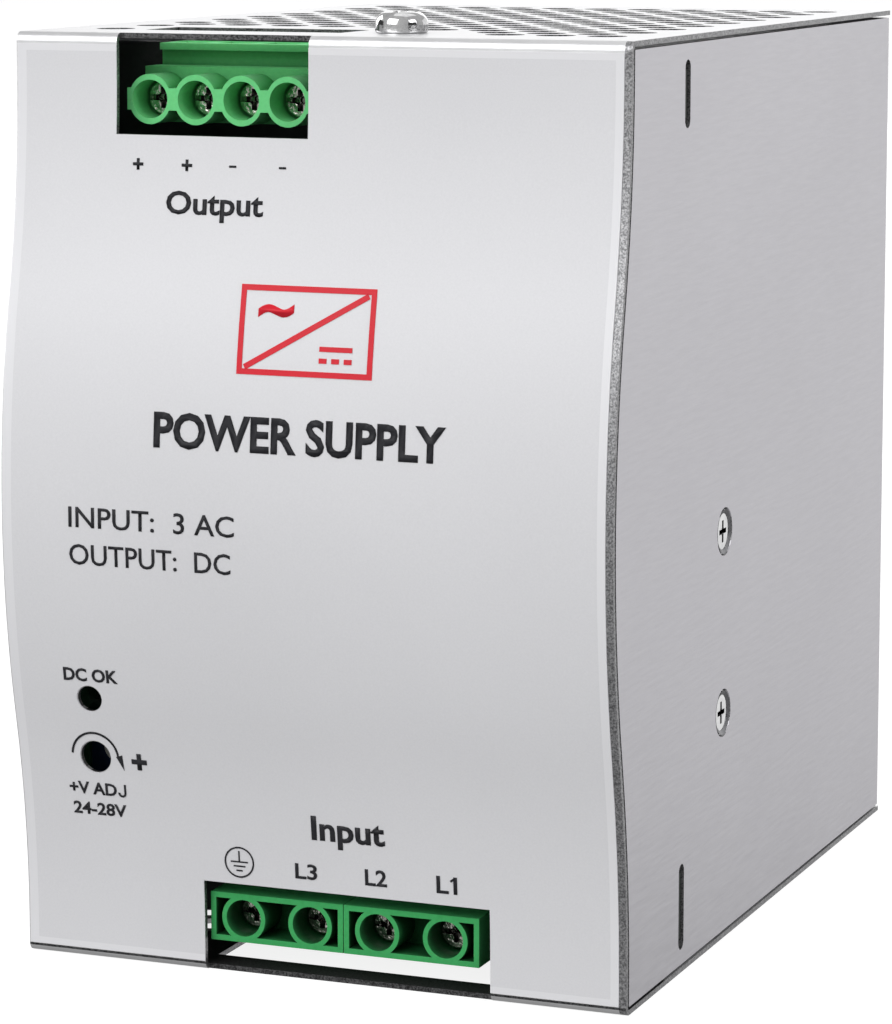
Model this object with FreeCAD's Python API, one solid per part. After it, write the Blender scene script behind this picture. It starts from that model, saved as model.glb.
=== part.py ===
"""DIN rail power supply: a perforated folded case on a rail clip, with screw terminals and boards.

Frame: millimetres, +Z up, +Y towards the rail, -Y the labelled front, +X the terminal L1 side.
Everything is drawn with y = 0 at the flat part of the front sheet, and save() moves it
so that the origin lies at the bottom centre of the whole supply.
"""
import FreeCAD
import Part
import math
import os

# ---------------------------------------------------------------- case
case_width = 86.0
case_height = 125.0
case_depth = 121.8
front_bulge = 6.2
wave_end_flat = 4.5
sheet = 0.7
bend_radius = 1.2
seam_gap = 0.4
flange_height = 11.0
flange_inset = 7.0
label_film = 0.15
label_left_margin = 0.2
label_right_margin = 1.0
label_top_margin = 1.5
label_bottom_margin = 0.8

# ---------------------------------------------------------------- perforation of top and bottom
hole_diameter = 5.2
hole_pitch = 7.0
first_row_depth = 13.4
row_spacing = hole_pitch * math.sqrt(3.0) / 2.0
perforation_rim = 2.0

# ---------------------------------------------------------------- terminals
board_depth = 21.5
board_thickness = 1.6
clamp_travel = 2.5
clamp_width = 5.3
clamp_wall = 0.5
clamp_plate = 1.1
wire_space = 4.2
contact_thickness = 0.8
contact_width = 3.4
terminal_clearance = 0.2
terminal_wall = 0.6
tail_thickness = 0.7
terminal_screw_radius = 1.5
terminal_head_radius = 2.3
terminal_head_height = 1.8
terminal_edge = 0.3
thread_clearance = 0.05
shoulder = 0.8

output_poles = 4
output_pitch = 6.6
output_centre_x = -15.3
output_axis_drop = 8.75
output_rim_depth = 3.4
output_bore_radius = 2.55
collar_sink = 4.2
collar_height = 6.6
collar_width = 6.1
output_body_depth = 8.9
output_lip_depth = 13.4
lip_thickness = 0.9
output_body_rise = 4.05
output_lip_rise = 6.95
web_height = 2.9

module_count = 2
module_poles = 2
input_pitch = 9.65
input_centre_x = 3.1
input_axis_z = 7.4
input_rim_depth = 1.0
input_bore_radius = 2.5
input_collar_radius = 3.15
frame_wall = 0.75
frame_half_height = 3.3
pocket_depth = 5.6
module_gap = 0.1

# ---------------------------------------------------------------- front openings
output_window_cover = 0.22
output_window_gap = 1.25
output_window_drop = 4.45
input_window_left_gap = 0.35
input_window_right_gap = 1.95
input_window_rise = 5.05
wire_slot_front = 11.0
wire_slot_side = 1.0
bar_width = 4.3
led_standoff = 4.0
led_z = 36.7
led_hole_radius = 1.75
trimmer_z = 28.45
trimmer_hole_radius = 2.2

# ---------------------------------------------------------------- boards and what holds them
standoff_height = 5.2
standoff_across_flats = 5.5
standoff_inset = 4.2
insulation = 0.4
board_margin = 3.0
board_front_gap = 0.4
tongue_depth = 4.0
terminal_board_height = 21.0
slot_width = 2.2
tab_inset = 3.2
tab_sink = 0.35
top_tab_height = 8.9
bottom_tab_height = 11.7
small_screw_radius = 1.5
pan_head_radius = 2.8
pan_head_height = 1.9
recess_width = 0.9
recess_depth = 1.1

# ---------------------------------------------------------------- side, top and rear fasteners
side_screw_radius = 1.75
side_head_radius = 3.05
side_head_sink = 0.3
side_head_height = 1.7
side_screw_length = 9.0
side_screw_depth = 40.0
side_screw_low = 31.9
side_screw_high = 57.05
top_screw_x = 6.3
top_screw_depth = 14.0
top_head_radius = 3.5
top_head_height = 2.8
top_screw_length = 4.0
rear_screw_x = 29.0
rear_screw_inset = 6.5
rear_screw_length = 4.0
clip_nut_across_flats = 7.0
clip_nut_height = 2.6
nut_plate = 1.0

# ---------------------------------------------------------------- rail clip
rail_width = 35.0
rail_thickness = 1.0
rail_play = 0.25
rail_rise = 1.5
bracket_width = 40.0
bracket_thickness = 2.0
bracket_tail = 32.0
bracket_head = 22.0
clip_reach = 3.7
hook_overlap = 3.2
hook_height = 4.0
latch_width = 24.0
latch_thickness = 2.0
latch_tail = 38.5
latch_travel = 3.8
slide_gap = 0.15
guide_wall = 1.5
guide_lip = 1.2
guide_drop = 8.0
guide_length = 22.0
spring_seat_drop = 26.0
spring_seat_height = 1.5
spring_length = 14.0
spring_radius = 1.35
spring_wire = 0.5
spring_turns = 8
slot_length = 9.0
slot_height = 3.0
clip_screw_radius = 2.0
clip_head_radius = 3.8
clip_head_height = 1.8
clip_screw_length = 5.4
clip_screw_drop = 10.0
clip_screw_rise = 17.0

# ---------------------------------------------------------------- electronics on the main board
sink_thickness = 6.0
sink_low = 26.0
sink_high = 63.0
fin_height = 6.0
fin_thickness = 1.4
fin_pitch = 5.0
bare_sink_length = 43.5
rectifier_sink_thickness = 4.0
rectifier_sink_drop = 24.0
rectifier_sink_height = 22.0
rectifier_sink_reach = 46.0
power_body = (20.8, 5.0, 15.9)
rectifier_body = (15.0, 4.5, 10.0)
package_gap = 1.3
lead_length = 12.0
core_size = (42.0, 18.0, 42.0)
yoke = 7.0
centre_leg = 12.0
bobbin_wall = 1.0
winding_thickness = 6.0
bulk_radius = 11.0
bulk_height = 46.0
filter_radius = 6.0
filter_height = 27.0
filter_count = 4
fuse_radius = 2.6
fuse_length = 19.0
fuse_pitch = 6.4
clip_length = 5.0
fuse_rise = 5.0
input_choke_size = (11.0, 6.0, 12.0)
input_choke_wire = 1.4
output_choke_size = (8.5, 4.4, 11.0)
output_choke_wire = 1.6
film_size = (15.0, 7.5, 18.0)
varistor_radius = 5.5
varistor_thickness = 4.0
varistor_pitch = 6.5
relay_size = (15.5, 8.5, 19.0)
card_size = (30.0, 17.0, 1.6)
chip_size = (7.0, 4.0, 1.6)
row_start_gap = 8.2
seat_gap = 0.05

mid_z = case_height / 2.0
wave_half_span = mid_z - wave_end_flat
half_width = case_width / 2.0
inner_half = half_width - sheet
inner_top = case_height - sheet
inner_back = case_depth - sheet
wave_radius = (wave_half_span ** 2 + front_bulge ** 2) / (4.0 * front_bulge)
board_left = -inner_half + standoff_height
board_face = board_left + board_thickness
board_back = board_depth + board_thickness
clip_plane = case_depth + bracket_thickness
output_axis_z = case_height - output_axis_drop
output_body_top = output_axis_z + output_body_rise
output_top = output_axis_z + output_lip_rise
led_x = board_face + led_standoff
rail_centre_z = mid_z + rail_rise
rail_top = rail_centre_z + rail_width / 2.0 + rail_play
rail_bottom = rail_centre_z - rail_width / 2.0 - rail_play
guide_high = rail_bottom - guide_drop
spring_seat_z = rail_bottom - spring_seat_drop
latch_low = rail_bottom - latch_tail
rear_reach = clip_plane + clip_reach
front_reach = front_bulge + label_film
origin_shift = (front_reach - rear_reach) / 2.0

clamp_rear = board_depth - terminal_wall - 0.3
clamp_rear_face = clamp_rear - clamp_plate
contact_rear = clamp_rear_face - wire_space
contact_front = contact_rear - contact_thickness
clamp_front = contact_front - terminal_clearance - clamp_plate
cavity_width = clamp_width + 2.0 * terminal_clearance


def save(name, *solids):
    """Write one sub-part, moved so that the origin lies at the bottom centre of the supply."""
    shape = solids[0] if len(solids) == 1 else Part.makeCompound(list(solids))
    moved = shape.copy()
    moved.translate(FreeCAD.Vector(0.0, origin_shift, 0.0))
    moved.exportStep("parts/%s.step" % name)


def box(x0, x1, y0, y1, z0, z1):
    return Part.makeBox(x1 - x0, y1 - y0, z1 - z0, FreeCAD.Vector(x0, y0, z0))


def block(centre, size):
    """A box from its centre and its three sizes."""
    low = [c - s / 2.0 for c, s in zip(centre, size)]
    return Part.makeBox(size[0], size[1], size[2], FreeCAD.Vector(*low))


def rod(axis, x, y, z, radius, length):
    """A cylinder that starts at x, y, z and runs along a signed axis such as '+y'."""
    way = 1.0 if axis[0] == "+" else -1.0
    direction = {"x": (way, 0, 0), "y": (0, way, 0), "z": (0, 0, way)}[axis[1]]
    return Part.makeCylinder(radius, length, FreeCAD.Vector(x, y, z), FreeCAD.Vector(*direction))


def cone(axis, x, y, z, radius, end_radius, length):
    way = 1.0 if axis[0] == "+" else -1.0
    direction = {"x": (way, 0, 0), "y": (0, way, 0), "z": (0, 0, way)}[axis[1]]
    point = FreeCAD.Vector(x, y, z)
    return Part.makeCone(radius, end_radius, length, point, FreeCAD.Vector(*direction))


def fuse(shapes):
    return shapes[0].multiFuse(shapes[1:]).removeSplitter()


def placed(shape, axis, x, y, z):
    """A shape drawn along +Z from the origin, turned to a signed axis and moved."""
    turns = {
        "+z": FreeCAD.Rotation(),
        "-z": FreeCAD.Rotation(FreeCAD.Vector(1, 0, 0), 180),
        "+x": FreeCAD.Rotation(FreeCAD.Vector(0, 1, 0), 90),
        "-x": FreeCAD.Rotation(FreeCAD.Vector(0, 1, 0), -90),
        "+y": FreeCAD.Rotation(FreeCAD.Vector(1, 0, 0), -90),
        "-y": FreeCAD.Rotation(FreeCAD.Vector(1, 0, 0), 90),
    }
    turned = shape.copy()
    turned.Placement = FreeCAD.Placement(FreeCAD.Vector(x, y, z), turns[axis])
    return turned


def cross_recess(width, reach, depth, top):
    """The tapered cross that a screwdriver fits, cut downwards from z = top."""
    arm = block((0, 0, top - depth / 2.0), (2.0 * reach, width, depth))
    other = block((0, 0, top - depth / 2.0), (width, 2.0 * reach, depth))
    centre = cone("+z", 0, 0, top - depth * 1.35, width * 0.5, width * 0.95, depth * 1.35)
    return fuse([arm, other, centre])


def pan_screw(shank_radius, head_radius, head_height, length):
    """Pan head screw with its seat at z = 0, its head above and its shank below."""
    head = Part.makeCylinder(head_radius, head_height)
    top_edges = [e for e in head.Edges if e.BoundBox.ZMin > head_height * 0.9]
    head = head.makeFillet(min(head_height, head_radius) * 0.6, top_edges)
    seat_edges = [e for e in head.Edges if e.BoundBox.ZMax < head_height * 0.1]
    head = head.makeFillet(head_height * 0.12, seat_edges)
    head = head.cut(cross_recess(recess_width, head_radius * 0.62, recess_depth, head_height))
    shank = rod("-z", 0, 0, 0, shank_radius, length)
    return head.fuse(shank).removeSplitter()


def flat_screw(shank_radius, head_radius, head_height, length):
    """Countersunk screw with the flat of its head at z = 0 and its shank below."""
    head = cone("-z", 0, 0, 0, head_radius, shank_radius, head_height)
    shank = rod("-z", 0, 0, 0, shank_radius, length)
    recess = cross_recess(recess_width * 0.75, head_radius * 0.5, recess_depth, 0.0)
    return head.fuse(shank).removeSplitter().cut(recess)


def flat_screw_hole(shank_radius, head_radius, head_height, length):
    gap = thread_clearance
    head = cone("-z", 0, 0, 0, head_radius + gap, shank_radius + gap, head_height)
    flare = (head_radius - shank_radius) / head_height
    mouth = cone("+z", 0, 0, 0, head_radius + gap, head_radius + gap + flare * sheet, sheet)
    return fuse([head, mouth, rod("-z", 0, 0, 0, shank_radius + gap, length + gap)])


# ---------------------------------------------------------------- folded case

def wave_point(inset, angle, crown):
    """A point on the crown arc or on the hollow arcs, angle measured from the horizontal."""
    if crown:
        radius = wave_radius - inset
        y = wave_radius - front_bulge - radius * math.cos(angle)
        return FreeCAD.Vector(0, y, mid_z + radius * math.sin(angle))
    radius = wave_radius + inset
    side = 1.0 if angle > 0 else -1.0
    y = -wave_radius + radius * math.cos(angle)
    return FreeCAD.Vector(0, y, mid_z + side * wave_half_span - radius * math.sin(angle))


def wave_edges(inset):
    """The front from top to bottom: a hollow arc, the crown and a second hollow arc."""
    reach = math.asin(wave_half_span / (2.0 * wave_radius))
    top = FreeCAD.Vector(0, inset, mid_z + wave_half_span)
    bottom = FreeCAD.Vector(0, inset, mid_z - wave_half_span)
    upper = wave_point(inset, reach, True)
    lower = wave_point(inset, -reach, True)
    arcs = [
        (top, wave_point(inset, reach / 2.0, False), upper),
        (upper, wave_point(inset, 0.0, True), lower),
        (lower, wave_point(inset, -reach / 2.0, False), bottom),
    ]
    return [Part.Arc(*points).toShape() for points in arcs]


def corner_arc(centre_y, centre_z, radius, way):
    """A quarter bend at the front, from the level sheet to the upright one."""
    start = FreeCAD.Vector(0, centre_y, centre_z + way * radius)
    middle = FreeCAD.Vector(0, centre_y - radius * math.sqrt(0.5),
                            centre_z + way * radius * math.sqrt(0.5))
    end = FreeCAD.Vector(0, centre_y - radius, centre_z)
    return start, middle, end


def case_solid(inset, back, half):
    """The closed volume inside the case profile at an inset, across x = -half to half."""
    radius = bend_radius - inset
    low = inset
    high = case_height - inset
    front_top = FreeCAD.Vector(0, inset, mid_z + wave_half_span)
    front_bottom = FreeCAD.Vector(0, inset, mid_z - wave_half_span)
    back_top = FreeCAD.Vector(0, back, high)
    back_bottom = FreeCAD.Vector(0, back, low)
    edges = wave_edges(inset)
    top_end = FreeCAD.Vector(0, inset, high)
    bottom_end = FreeCAD.Vector(0, inset, low)
    if radius > 0:
        top_start, top_middle, top_end = corner_arc(inset + radius, high - radius, radius, 1.0)
        low_start, low_middle, bottom_end = corner_arc(inset + radius, low + radius, radius, -1.0)
        edges.append(Part.Arc(top_start, top_middle, top_end).toShape())
        edges.append(Part.Arc(low_start, low_middle, bottom_end).toShape())
        edges.append(Part.LineSegment(back_top, top_start).toShape())
        edges.append(Part.LineSegment(low_start, back_bottom).toShape())
    else:
        edges.append(Part.LineSegment(back_top, top_end).toShape())
        edges.append(Part.LineSegment(bottom_end, back_bottom).toShape())
    edges.append(Part.LineSegment(top_end, front_top).toShape())
    edges.append(Part.LineSegment(front_bottom, bottom_end).toShape())
    edges.append(Part.LineSegment(back_bottom, back_top).toShape())
    wire = Part.Wire(Part.__sortEdges__(edges))
    solid = Part.Face(wire).extrude(FreeCAD.Vector(2.0 * half, 0, 0))
    solid.translate(FreeCAD.Vector(-half, 0, 0))
    return solid


def output_window(depth):
    """The cut in the front and its top bend through which the output screws are reached."""
    half = output_poles * output_pitch / 2.0
    left = output_centre_x - half + output_window_cover
    right = output_centre_x + half + output_window_gap
    return box(left, right, -front_bulge, depth, output_axis_z - output_window_drop, case_height + 1.0)


def input_window(depth):
    half = module_count * module_poles * input_pitch / 2.0
    left = input_centre_x - half - input_window_left_gap
    right = input_centre_x + half + input_window_right_gap
    return box(left, right, -front_bulge, depth, -1.0, input_axis_z + input_window_rise)


def wire_slot(centre, pole_span, front, z):
    """The cut in a level sheet through which the wires reach a terminal block."""
    half = pole_span / 2.0 + wire_slot_side
    return box(centre - half, centre + half, front, clamp_rear + 0.5, z - 1.0, z + sheet + 1.0)


def output_wire_slot():
    return wire_slot(output_centre_x, output_poles * output_pitch, wire_slot_front, inner_top)


def input_wire_slot():
    span = module_count * module_poles * input_pitch
    return wire_slot(input_centre_x, span, bend_radius + bar_width, 0.0)


def front_holes(extra):
    """The round holes over the status lamp and the voltage trimmer."""
    reach = 2.0 * front_bulge
    lamp = rod("+y", led_x, -reach, led_z, led_hole_radius + extra, 2.0 * reach)
    trimmer = rod("+y", led_x, -reach, trimmer_z, trimmer_hole_radius + extra, 2.0 * reach)
    return [lamp, trimmer]


def perforation(z, keep_outs):
    """Staggered round holes over a level sheet, left out wherever they would touch a keep-out."""
    holes = []
    radius = hole_diameter / 2.0
    rows = int((inner_back - flange_inset - radius - first_row_depth) // row_spacing) + 1
    columns = int(half_width // hole_pitch) + 1
    for row in range(rows):
        y = first_row_depth + row * row_spacing
        shift = hole_pitch / 2.0 if row % 2 else 0.0
        for column in range(-columns, columns + 1):
            x = column * hole_pitch + shift
            room = radius + perforation_rim
            inside = abs(x) + radius + 1.5 < inner_half
            clear = all(x + room < k[0] or x - room > k[1] or y + room < k[2] or y - room > k[3]
                        for k in keep_outs)
            if inside and clear:
                holes.append(rod("+z", x, y, z - 1.0, radius, sheet + 2.0))
    return holes


def slot_area(slot):
    bounds = slot.BoundBox
    return (bounds.XMin, bounds.XMax, 0.0, bounds.YMax)


def rear_screw_places():
    heights = (rear_screw_inset, case_height - rear_screw_inset)
    return [(x, z) for x in (-rear_screw_x, rear_screw_x) for z in heights]


def front_shell():
    """One folded sheet: perforated top, waved front and perforated bottom, with rear flanges."""
    half = half_width
    outer = case_solid(0.0, inner_back, half)
    shell = outer.cut(case_solid(sheet, inner_back + 1.0, half + 1.0))
    flange_half = half_width - flange_inset
    flanges = []
    for low, high in ((sheet / 2.0, flange_height),
                      (case_height - flange_height, case_height - sheet / 2.0)):
        flanges.append(box(-flange_half, flange_half, inner_back - sheet, inner_back, low, high))
    shell = fuse([shell] + flanges)
    top_screw_area = (top_screw_x - top_head_radius, top_screw_x + top_head_radius,
                      0.0, top_screw_depth + top_head_radius)
    cuts = [output_window(bend_radius), input_window(bend_radius)]
    cuts += [output_wire_slot(), input_wire_slot()] + front_holes(0.0)
    cuts += perforation(inner_top, [slot_area(output_wire_slot()), top_screw_area])
    cuts += perforation(0.0, [slot_area(input_wire_slot())])
    cuts.append(rod("+z", top_screw_x, top_screw_depth, inner_top - 1.0,
                    side_screw_radius + thread_clearance, sheet + 2.0))
    for x, z in rear_screw_places():
        cuts.append(rod("+y", x, inner_back - 5.0, z, small_screw_radius + thread_clearance, 6.0))
    return shell.cut(Part.makeCompound(cuts))


def side_screw_heights():
    return (side_screw_low, side_screw_high)


def rear_shell():
    """One folded sheet: left side, back and right side, with a waved front edge."""
    low = sheet + seam_gap
    outer = box(-half_width, half_width, -front_bulge, case_depth, low, case_height - low)
    uprights = [e for e in outer.Edges
                if e.BoundBox.ZLength > case_height / 2.0 and e.BoundBox.YMin > case_depth - 0.1]
    outer = outer.makeFillet(bend_radius + 0.3, uprights)
    hollow = box(-inner_half, inner_half, -front_bulge - 1.0, inner_back, 0.0, case_height)
    uprights = [e for e in hollow.Edges
                if e.BoundBox.ZLength > case_height / 2.0 and e.BoundBox.YMin > inner_back - 0.1]
    hollow = hollow.makeFillet(bend_radius + 0.3 - sheet, uprights)
    shell = outer.cut(hollow).common(case_solid(low, case_depth + 1.0, half_width + 1.0))
    cuts = []
    for side in (-1.0, 1.0):
        for z, height in board_tabs():
            x = side * half_width
            y = board_depth + board_thickness / 2.0
            cuts.append(block((x, y, z), (2.0 * sheet + 1.0, slot_width, height)))
            for end in (-1.0, 1.0):
                cuts.append(rod("+x", x - sheet - 0.5, y, z + end * height / 2.0,
                                slot_width / 2.0, 2.0 * sheet + 1.0))
    for z in side_screw_heights():
        hole = flat_screw_hole(side_screw_radius, side_head_radius, side_head_height, side_screw_length)
        cuts.append(placed(hole, "+x", half_width - side_head_sink, side_screw_depth, z))
    for x, z in rear_screw_places():
        cuts.append(rod("+y", x, inner_back - 1.0, z, small_screw_radius + thread_clearance, 3.0))
    for z in clip_screw_heights():
        cuts.append(rod("+y", 0.0, inner_back - 1.0, z, clip_screw_radius + thread_clearance, 3.0))
    return shell.cut(Part.makeCompound(cuts))


def front_label():
    """The printed film glued over the front, with the same windows and holes as the sheet."""
    film = case_solid(-label_film, case_depth, half_width)
    film = film.cut(case_solid(0.0, case_depth + 1.0, case_width))
    area = box(-half_width + label_left_margin, half_width - label_right_margin,
               -2.0 * front_bulge, sheet,
               bend_radius + label_bottom_margin - sheet, case_height - label_top_margin)
    film = film.common(area)
    cuts = [output_window(bend_radius), input_window(bend_radius)] + front_holes(0.1)
    return film.cut(Part.makeCompound(cuts))


# ---------------------------------------------------------------- terminals

def output_xs():
    first = output_centre_x - (output_poles - 1) * output_pitch / 2.0
    return [first + i * output_pitch for i in range(output_poles)]


def input_xs():
    poles = module_count * module_poles
    first = input_centre_x - (poles - 1) * input_pitch / 2.0
    return [first + i * input_pitch for i in range(poles)]


def clamp_cavity(x, axis_z, side, front, wire_reach):
    """The room in a housing where a clamp travels; side is +1 where the wires enter from above."""
    base = axis_z - side * (collar_height / 2.0 - terminal_wall)
    end = axis_z + side * wire_reach
    return box(x - cavity_width / 2.0, x + cavity_width / 2.0, front, board_depth - terminal_wall,
               min(base, end), max(base, end))


def wire_hole(x, axis_z, side, reach):
    """The square way in for a wire, from the clamp out through the housing's wall."""
    half = wire_space / 2.0 + 0.1
    end = axis_z + side * reach
    low = min(axis_z, end)
    high = max(axis_z, end)
    return box(x - half, x + half, contact_rear - 0.1, clamp_rear_face + 0.1, low, high)


def screw_way(x, axis_z, rim, head_back, bore_radius):
    """The round collar bore, the seat of the screw's head and the hole for its shank."""
    bore = rod("+y", x, rim - 1.0, axis_z, bore_radius, head_back - rim + 1.0)
    neck = rod("+y", x, head_back - 1.0, axis_z, terminal_screw_radius + 0.15, shoulder + 2.0)
    return bore.fuse(neck)


def tail_hole(x, axis_z, side):
    """Where a contact's solder tail leaves the back of its housing."""
    base = axis_z - side * (collar_height / 2.0 - terminal_wall)
    inner = base + side * (tail_thickness + 2.0 * thread_clearance)
    half = contact_width / 4.0 + thread_clearance
    return box(x - half, x + half, contact_rear, board_depth + 1.0, min(base, inner), max(base, inner))


def oval_collar(x, axis_z, front, back):
    """An upright oval tube wall, drawn solid."""
    centre = FreeCAD.Vector(x, front, axis_z)
    ellipse = Part.Ellipse(FreeCAD.Vector(0, 0, 0), collar_height / 2.0, collar_width / 2.0)
    face = Part.Face(Part.Wire(ellipse.toShape()))
    face.rotate(FreeCAD.Vector(0, 0, 0), FreeCAD.Vector(0, 1, 0), 90)
    face.rotate(FreeCAD.Vector(0, 0, 0), FreeCAD.Vector(0, 0, 1), 90)
    face.translate(centre)
    return face.extrude(FreeCAD.Vector(0, back - front, 0))


def output_head_back():
    return output_rim_depth + collar_sink + terminal_head_height


def output_terminal_housing():
    """Four collars on a stepped body; wires enter from above behind the upper lip."""
    xs = output_xs()
    left = xs[0] - output_pitch / 2.0
    right = xs[-1] + output_pitch / 2.0
    bottom = output_axis_z - collar_height / 2.0
    solids = [box(left, right, output_body_depth, board_depth, bottom, output_body_top)]
    upper_front = contact_rear - 0.1 - 1.0
    solids.append(box(left, right, upper_front, board_depth, output_body_top - 0.5, output_top))
    solids.append(box(left, right, output_lip_depth, board_depth, output_top - lip_thickness, output_top))
    solids.append(box(left, right, output_rim_depth, output_body_depth + 0.5,
                      output_axis_z - web_height / 2.0, output_axis_z + web_height / 2.0))
    for x in xs:
        solids.append(oval_collar(x, output_axis_z, output_rim_depth, output_body_depth + 0.5))
    body = fuse(solids)
    cuts = []
    head_back = output_head_back()
    for x in xs:
        cuts.append(screw_way(x, output_axis_z, output_rim_depth, head_back, output_bore_radius))
        cuts.append(clamp_cavity(x, output_axis_z, 1.0, head_back + shoulder,
                                 output_body_top - 1.0 - output_axis_z))
        cuts.append(wire_hole(x, output_axis_z, 1.0, output_top + 1.0 - output_axis_z))
        cuts.append(tail_hole(x, output_axis_z, 1.0))
    return body.cut(fuse(cuts))


def input_head_back():
    return input_rim_depth + collar_sink + terminal_head_height


def input_terminal_housing(xs):
    """Two round collars in a rectangular frame; wires enter from below."""
    left = xs[0] - input_pitch / 2.0 + module_gap / 2.0
    right = xs[-1] + input_pitch / 2.0 - module_gap / 2.0
    low = input_axis_z - frame_half_height
    high = input_axis_z + frame_half_height
    pocket_back = input_rim_depth + pocket_depth
    body = box(left, right, input_rim_depth, board_depth, low, high)
    pocket = box(left + frame_wall, right - frame_wall, input_rim_depth - 1.0, pocket_back,
                 low + frame_wall, high - frame_wall)
    head_back = input_head_back()
    collars = [rod("+y", x, input_rim_depth, input_axis_z, input_collar_radius, pocket_depth + 0.5)
               for x in xs]
    body = fuse([body.cut(pocket)] + collars)
    cuts = []
    for x in xs:
        cuts.append(screw_way(x, input_axis_z, input_rim_depth, head_back, input_bore_radius))
        cuts.append(clamp_cavity(x, input_axis_z, -1.0, head_back + shoulder,
                                 frame_half_height - terminal_wall))
        cuts.append(wire_hole(x, input_axis_z, -1.0, frame_half_height + 1.0))
        cuts.append(tail_hole(x, input_axis_z, -1.0))
    return body.cut(fuse(cuts))


def terminal_screw(x, axis_z, head_back):
    """Screw with a cross and a slot in its cheese head, ending at the open clamp's plate."""
    head = rod("+y", x, head_back - terminal_head_height, axis_z, terminal_head_radius,
               terminal_head_height - 0.05)
    front_edges = [e for e in head.Edges if e.BoundBox.YMax < head_back - terminal_head_height / 2.0]
    head = head.makeFillet(terminal_edge, front_edges)
    length = clamp_front + clamp_plate - head_back
    shank = rod("+y", x, head_back - 0.1, axis_z, terminal_screw_radius, length + 0.1)
    recess = cross_recess(0.8, terminal_head_radius * 0.62, recess_depth, 0.0)
    slot = block((0, 0, -0.3), (2.0 * terminal_head_radius + 1.0, 0.7, 0.6))
    tool = placed(fuse([recess, slot]), "-y", x, head_back - terminal_head_height, axis_z)
    return head.fuse(shank).removeSplitter().cut(tool)


def terminal_clamp(x, axis_z, side):
    """A square steel loop round the wire space, pulled forwards by its screw."""
    base = axis_z - side * (collar_height / 2.0 - terminal_wall - tail_thickness - terminal_clearance)
    end = axis_z + side * (wire_space / 2.0 + 0.2)
    low = min(base, end)
    high = max(base, end)
    half = clamp_width / 2.0
    loop = box(x - half, x + half, clamp_front, clamp_rear, low, high)
    room = box(x - half + clamp_wall, x + half - clamp_wall, clamp_front + clamp_plate,
               clamp_rear_face, low - 1.0, high + 1.0)
    thread = rod("+y", x, clamp_front - 1.0, axis_z, terminal_screw_radius + thread_clearance, 4.0)
    return loop.cut(room.fuse(thread))


def terminal_contact(x, axis_z, side):
    """The fixed bar that the wire is pressed on, with a solder tail through the board."""
    outer = axis_z - side * (collar_height / 2.0 - terminal_wall - thread_clearance)
    end = axis_z + side * (wire_space / 2.0 + 0.4)
    inner = outer + side * tail_thickness
    half = contact_width / 2.0
    bar = box(x - half, x + half, contact_front, contact_rear, min(outer, end), max(outer, end))
    tail = box(x - half / 2.0, x + half / 2.0, contact_front, board_back + 1.0,
               min(outer, inner), max(outer, inner))
    return bar.fuse(tail).removeSplitter()


# ---------------------------------------------------------------- boards

def board_tabs():
    """Height of the middle, and the straight height, of the side slots that take the board tabs."""
    low = tab_inset + bottom_tab_height / 2.0
    high = case_height - tab_inset - top_tab_height / 2.0
    return ((low, bottom_tab_height - slot_width), (high, top_tab_height - slot_width))


def terminal_board(tab, low, high, tails):
    """An upright board behind a terminal block, its ends held in the slots of both sides."""
    half = inner_half - terminal_clearance
    plate = box(-half, half, board_depth, board_back, low, high)
    z, height = tab
    tabs = block((0, board_depth + board_thickness / 2.0, z),
                 (2.0 * (half_width - tab_sink), board_thickness, height - 2.0 * terminal_clearance))
    holes = []
    for x, axis_z, side in tails:
        outer = axis_z - side * (collar_height / 2.0 - terminal_wall)
        inner = outer + side * (tail_thickness + 2.0 * thread_clearance)
        reach = contact_width / 4.0 + thread_clearance
        holes.append(box(x - reach, x + reach, board_depth - 1.0, board_back + 1.0,
                         min(outer, inner), max(outer, inner)))
    for x, y, z in bracket_screw_places():
        holes.append(rod("+y", x, y - 1.0, z, small_screw_radius + thread_clearance, 5.0))
    return fuse([plate, tabs]).cut(Part.makeCompound(holes))


def output_board_low():
    return inner_top - 1.3 - terminal_board_height


def input_board_high():
    return sheet + 1.3 + terminal_board_height


def bracket_screw_places():
    return [(top_screw_x, board_depth, output_axis_z - 4.0)]


def standoff_places():
    back = inner_back - board_margin - standoff_inset
    front = board_back + board_front_gap + standoff_inset
    low = board_margin + standoff_inset
    return [(y, z) for y in (front, back) for z in (low, case_height - low)]


def main_board():
    """The large board along the left side, with a tongue forward to the lamp and trimmer."""
    back = inner_back - board_margin
    front = board_back + board_front_gap
    plate = box(board_left, board_face, front, back, board_margin, case_height - board_margin)
    tongue = box(board_left, board_face, tongue_depth, front + 1.0,
                 input_board_high() + 1.0, output_board_low() - 1.0)
    holes = [rod("+x", board_left - 1.0, y, z, small_screw_radius + thread_clearance, 4.0)
             for y, z in standoff_places()]
    return fuse([plate, tongue]).cut(Part.makeCompound(holes))


def hex_prism(axis, x, y, z, across_flats, length):
    radius = across_flats / math.sqrt(3.0)
    points = [FreeCAD.Vector(radius * math.cos(math.radians(60 * i)),
                             radius * math.sin(math.radians(60 * i)), 0) for i in range(7)]
    prism = Part.Face(Part.makePolygon(points)).extrude(FreeCAD.Vector(0, 0, length))
    return placed(prism, axis, x, y, z)


def pressed_inserts():
    """Hexagonal posts pressed in the left side, and the nuts pressed in the back for the clip."""
    solids = clip_nuts()
    for y, z in standoff_places():
        post = hex_prism("+x", -inner_half, y, z, standoff_across_flats, standoff_height)
        thread = rod("+x", -inner_half + 0.6, y, z, small_screw_radius + thread_clearance, standoff_height)
        solids.append(post.cut(thread))
    return solids


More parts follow.
